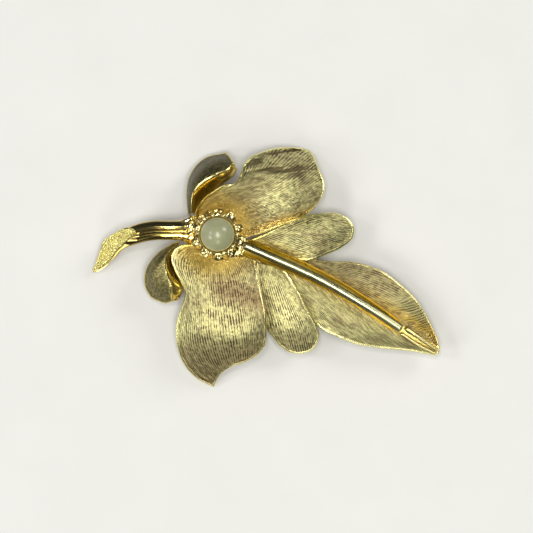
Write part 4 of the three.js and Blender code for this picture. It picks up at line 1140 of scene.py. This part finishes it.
def makePearl():
    steps = np.linspace(0, math.pi - math.asin(pearl["hole"] / pearl["radius"]), 70)
    profile = [(pearl["radius"] * math.sin(a), pearlHeight + pearl["radius"] * math.cos(a)) for a in steps]
    profile[0] = (0, pearlHeight + pearl["radius"])
    profile += [(pearl["hole"], pearlHeight + pearl["holeTop"]), (0, pearlHeight + pearl["holeTop"])]
    piece = turnProfile("pearl_bead", profile, 110)
    finishPiece(piece, "pearl", material=pearlSkin)


makePearl()


def makeClawRing():
    # repeats one claw round the pearl, each a little different
    tree = bpy.data.node_groups.new("clawRing", "GeometryNodeTree")
    tree.is_modifier = True
    face = tree.interface
    face.new_socket("Geometry", in_out="INPUT", socket_type="NodeSocketGeometry")
    face.new_socket("Count", in_out="INPUT", socket_type="NodeSocketInt").default_value = 10
    face.new_socket("First Angle", in_out="INPUT", socket_type="NodeSocketFloat").default_value = 0.0
    face.new_socket("Centre", in_out="INPUT", socket_type="NodeSocketVector")
    face.new_socket("Unevenness", in_out="INPUT", socket_type="NodeSocketFloat").default_value = 0.1
    face.new_socket("Seed", in_out="INPUT", socket_type="NodeSocketInt").default_value = 1
    face.new_socket("Finish", in_out="INPUT", socket_type="NodeSocketMaterial")
    face.new_socket("Geometry", in_out="OUTPUT", socket_type="NodeSocketGeometry")
    start = tree.nodes.new("NodeGroupInput")
    end = tree.nodes.new("NodeGroupOutput")
    points = addNode(tree, "GeometryNodePoints",
                     {"Count": start.outputs["Count"], "Position": start.outputs["Centre"]})
    index = addNode(tree, "GeometryNodeInputIndex").outputs[0]
    turn = mathNode(tree, "DIVIDE", mathNode(tree, "MULTIPLY", index, 2 * math.pi), start.outputs["Count"])
    turn = mathNode(tree, "ADD", turn, start.outputs["First Angle"])
    wander = addNode(tree, "FunctionNodeRandomValue", {"ID": index, "Seed": start.outputs["Seed"]},
                     data_type="FLOAT")
    spread = mathNode(tree, "MULTIPLY", mathNode(tree, "SUBTRACT", wander.outputs[1], 0.5),
                      start.outputs["Unevenness"])
    spin = addNode(tree, "ShaderNodeCombineXYZ",
                   {2: mathNode(tree, "ADD", turn, mathNode(tree, "MULTIPLY", spread, 0.5))})
    size = mathNode(tree, "ADD", 1.0, spread)
    scale = addNode(tree, "ShaderNodeCombineXYZ", {0: 1.0, 1: size, 2: 1.0})
    links = {"Points": points.outputs[0], "Instance": start.outputs["Geometry"],
             "Rotation": spin.outputs[0], "Scale": scale.outputs[0]}
    ring = addNode(tree, "GeometryNodeInstanceOnPoints", links)
    real = addNode(tree, "GeometryNodeRealizeInstances", {"Geometry": ring.outputs[0]})
    coated = addNode(tree, "GeometryNodeSetMaterial",
                     {"Geometry": real.outputs[0], "Material": start.outputs["Finish"]})
    tree.links.new(coated.outputs[0], end.inputs[0])
    return tree


clawRing = makeClawRing()


def joinPieces(name, pieces):
    build = bmesh.new()
    for piece in pieces:
        build.from_mesh(piece.data)
    mesh = bpy.data.meshes.new(name)
    build.to_mesh(mesh)
    build.free()
    for piece in pieces:
        bpy.data.objects.remove(piece)
    joint = bpy.data.objects.new(name, mesh)
    scene.collection.objects.link(joint)
    return joint


setting = {
    "claws": 10, "firstAngle": -2.0, "beadRadius": 0.43, "ringRadius": 3.44,
    "clawLine": [(4.25, 6.75), (4.0, 7.3), (3.72, 8.2), (3.5, 9.2), (3.44, 9.9)],
    "clawRadius": [0.34, 0.4, 0.3, 0.24, 0.22],
    "cup": [(0, 6.72), (2.5, 6.72), (2.8, 6.8), (3.1, 7.6), (3.26, 8.6), (3.34, 9.4), (3.33, 9.62),
            (3.24, 9.72), (3.14, 9.66),
            (3.06, 9.3), (2.84, 8.6), (2.45, 7.95), (1.6, 7.4), (0.5, 7.22), (0, 7.22)],
}


def makeCrown():
    cup = turnProfile("crown_cup", setting["cup"], 90)
    angles = np.linspace(0, 2 * math.pi, 14, endpoint=False)
    line = [(x, 0, z) for x, z in setting["clawLine"]]
    stations = np.linspace(0, 1, len(line))

    def section(t):
        radius = np.interp(t, stations, setting["clawRadius"])
        return radius * np.cos(angles) * 1.1, radius * np.sin(angles), {}

    claw = sweepAlong("claw", line, np.linspace(0, 1, 14), section, capStart=0.2)
    bead = bmesh.new()
    bmesh.ops.create_icosphere(bead, subdivisions=3, radius=setting["beadRadius"] * mm)
    bmesh.ops.translate(bead, verts=bead.verts,
                        vec=Vector(placed([[setting["ringRadius"], 0, pearlHeight + 0.02]])[0]))
    bead.from_mesh(claw.data)
    bmesh.ops.translate(bead, verts=bead.verts, vec=-Vector((hub[0], hub[1], 0)))
    bead.to_mesh(claw.data)
    bead.free()
    bakeNodes(claw, clawRing, Count=setting["claws"], First_Angle=math.radians(setting["firstAngle"]),
              Centre=(hub[0], hub[1], 0.0), Unevenness=0.25, Seed=4, Finish=polishedGold)
    smoothShade(claw)
    piece = joinPieces("claw_crown", [cup, claw])
    smoothShade(piece, 60)
    finishPiece(piece, "prong_crown", material=polishedGold)


makeCrown()

rosette = {"petals": 10, "inside": 2.2, "outside": 4.5, "phase": 16.0}


def makeRosette():
    # crumpled collar of small petals that runs down from the claws to the leaves
    sides = 260
    rows = 44
    angles = np.linspace(0, 2 * math.pi, sides, endpoint=False)
    petal = np.abs(np.cos((angles + math.radians(rosette["phase"])) * rosette["petals"] / 2)) ** 0.8
    reach = rosette["outside"] - 0.45 + 0.6 * petal + 0.12 * valueNoise(np.cos(angles) * 3 + 5,
                                                                        np.sin(angles) * 3 + 5, 61)
    share = np.linspace(0, 1, rows)[:, None]
    radius = rosette["inside"] + (reach - rosette["inside"]) * share
    x = radius * np.cos(angles)
    y = radius * np.sin(angles)
    crease = np.abs(np.sin((angles + math.radians(rosette["phase"])) * rosette["petals"] / 2)) ** 6
    top = 6.66 + 0.1 * np.sin(math.pi * share) - 0.42 * share ** 3
    top = top - 0.22 * crease * share + 0.14 * valueNoise(x * 2.6, y * 2.6,
                                                          62) * share + 0.04 * valueNoise(x * 6, y * 6,
                                                                                          63) * share
    low = np.full_like(top, 6.14) - 0.42 * share ** 3
    verts = np.concatenate([np.stack([x, y, top], 2).reshape(-1, 3),
                            np.stack([x, y, low], 2).reshape(-1, 3)])
    faces = []
    count = rows * sides
    for j in range(rows - 1):
        for i in range(sides):
            a = j * sides + i
            b = j * sides + (i + 1) % sides
            faces.append((a, b, b + sides, a + sides))
            faces.append((a + count, a + sides + count, b + sides + count, b + count))
    for i in range(sides):
        n = (i + 1) % sides
        faces.append((i, i + count, n + count, n))
        far = (rows - 1) * sides
        faces.append((far + i, far + n, far + n + count, far + i + count))
    # painted shade over the collar, deeper in the creases; painted shade and painted amber reflection in
    # the creases, fading towards the outer edge
    hollow = np.concatenate([(0.35 + 0.5 * crease * share).ravel(), np.full(count, 0.3)])
    dark = np.concatenate([np.clip(0.25 + 0.75 * crease - 0.5 * share, 0, 0.9).ravel(),
                           np.full(count, 0.3)])
    piece = pieceFrom("petal_collar", placed(verts), faces,
                      {"polish": np.full(2 * count, 0.2), "hollow": hollow,
                                                             "groove": 0.55 * dark, "warm": dark})
    faceOutwards(piece)
    smoothShade(piece, 60)
    finishPiece(piece, "calyx_rosette", material=polishedGold)


makeRosette()


easing = {"segments": 2, "merge": 0.000002, "flat": 1.0, "edge": 35, "smooth": 32}    # angles in degrees


def easedCopy(name, node, width):
    # copy of a solid with its facets merged and its edges eased
    mesh = bpy.data.meshes.new(name)
    build = bmesh.new()
    build.from_mesh(bpy.data.objects[node].data)
    bmesh.ops.remove_doubles(build, verts=build.verts, dist=easing["merge"])
    bmesh.ops.dissolve_limit(build, angle_limit=math.radians(easing["flat"]), verts=build.verts,
                             edges=build.edges)
    build.to_mesh(mesh)
    build.free()
    piece = bpy.data.objects.new(name, mesh)
    scene.collection.objects.link(piece)
    bevel = piece.modifiers.new("eased", "BEVEL")
    bevel.width = width * mm
    bevel.segments = easing["segments"]
    bevel.limit_method = "ANGLE"
    bevel.angle_limit = math.radians(easing["edge"])
    bevel.use_clamp_overlap = True
    graph = bpy.context.evaluated_depsgraph_get()
    made = bpy.data.meshes.new_from_object(piece.evaluated_get(graph))
    piece.modifiers.remove(bevel)
    piece.data = made
    made.name = name
    smoothShade(piece, easing["smooth"])
    return piece


backPieces = {
    "hub_disc": ("disc_plate", 0.1, "polished_gold", "brooch", polishedGold),
    "pin_bar": ("bar_strip", 0.14, "polished_gold", "brooch", polishedGold),
    "hinge_bracket": ("hinge_ears", 0.07, "polished_gold", "brooch", polishedGold),
    "hinge_rivet": ("rivet_wire", 0.06, "pin_steel", "brooch", pinSteel),
    "pin_stem": ("pin_needle", 0.05, "pin_steel", "pin", pinSteel),
    "catch_housing": ("catch_shell", 0.06, "polished_gold", "brooch", polishedGold),
    "lock_roller": ("catch_roller", 0.05, "polished_gold", "lock", polishedGold),
}
for nodeName, (pieceName, width, slot, body, material) in backPieces.items():
    finishPiece(easedCopy(pieceName, nodeName, width), nodeName, body, material)
peg = bpy.data.objects["pearl_peg"]    # hidden inside the pearl, so only its material changes
peg.data.materials.clear()
peg.data.materials.append(pinSteel)
print("setting, midrib, stem and back made")


benchHalf = 0.6


def makeFloor():
    verts = [(x * benchHalf, y * benchHalf, 0) for x, y in ((-1, -1), (1, -1), (1, 1), (-1, 1))]
    floor = pieceFrom("bench", verts, [(0, 1, 2, 3)])
    floor.data.materials.append(floorPaper)


lights = {    # place and size in metres, power in watts
    "overhead": {"place": (0.04, -0.16, 1.5), "size": 0.7, "power": 12.3, "tint": (1.0, 0.99, 0.93)},
    "keyLamp": {"place": (-0.09, 0.36, 1.5), "size": 0.12, "power": 2.8, "tint": (1.0, 0.99, 0.95)},
    "sideWindow": {"place": (-1.2, 0.25, 1.1), "size": 0.35, "power": 3.5, "tint": (0.97, 0.98, 1.0)},
    "leftTent": {"place": (-1.0, -0.42, 0.75), "size": 0.5, "power": 4.0, "tint": (1.0, 1.0, 0.96)},
    "rightTent": {"place": (0.97, 0.77, 0.72), "size": 0.6, "power": 6.5, "tint": (1.0, 0.99, 0.93)},
    "frontTent": {"place": (0.1, -1.15, 0.85), "size": 0.6, "power": 3.5, "tint": (1.0, 0.99, 0.93)},
}


def areaLight(name, place, size, power, tint):
    # round soft light aimed at the middle of the brooch
    data = bpy.data.lights.new(name, "AREA")
    data.shape = "DISK"
    data.size = size
    data.energy = power
    data.color = tint
    lamp = bpy.data.objects.new(name, data)
    lamp.location = place
    lamp.rotation_euler = (-Vector(place)).to_track_quat("-Z", "Y").to_euler()
    scene.collection.objects.link(lamp)


view = {"height": 1.2, "across": 0.0933, "sensor": 36.0, "fromHub": (0.00857, -0.0056), "subject": 0.009}


def makeCamera():
    # straight above; subject is the height of the leaves, where view["across"] metres fill the frame
    data = bpy.data.cameras.new("topCamera")
    data.sensor_width = view["sensor"]
    data.lens = view["sensor"] * view["height"] / view["across"]
    camera = bpy.data.objects.new("topCamera", data)
    x, y = view["fromHub"]
    camera.location = (hub[0] + x, hub[1] + y, view["height"] + view["subject"])
    scene.collection.objects.link(camera)
    scene.camera = camera


makeFloor()
for lightName, light in lights.items():
    areaLight(lightName, **light)
makeCamera()
world = bpy.data.worlds.new("room")
world.use_nodes = True
setInputs(world.node_tree.nodes["Background"], Color=(0.9, 0.92, 1.0, 1), Strength=0.10)
scene.world = world
scene.view_settings.view_transform = "Standard"
print("bench, lights and camera ready")
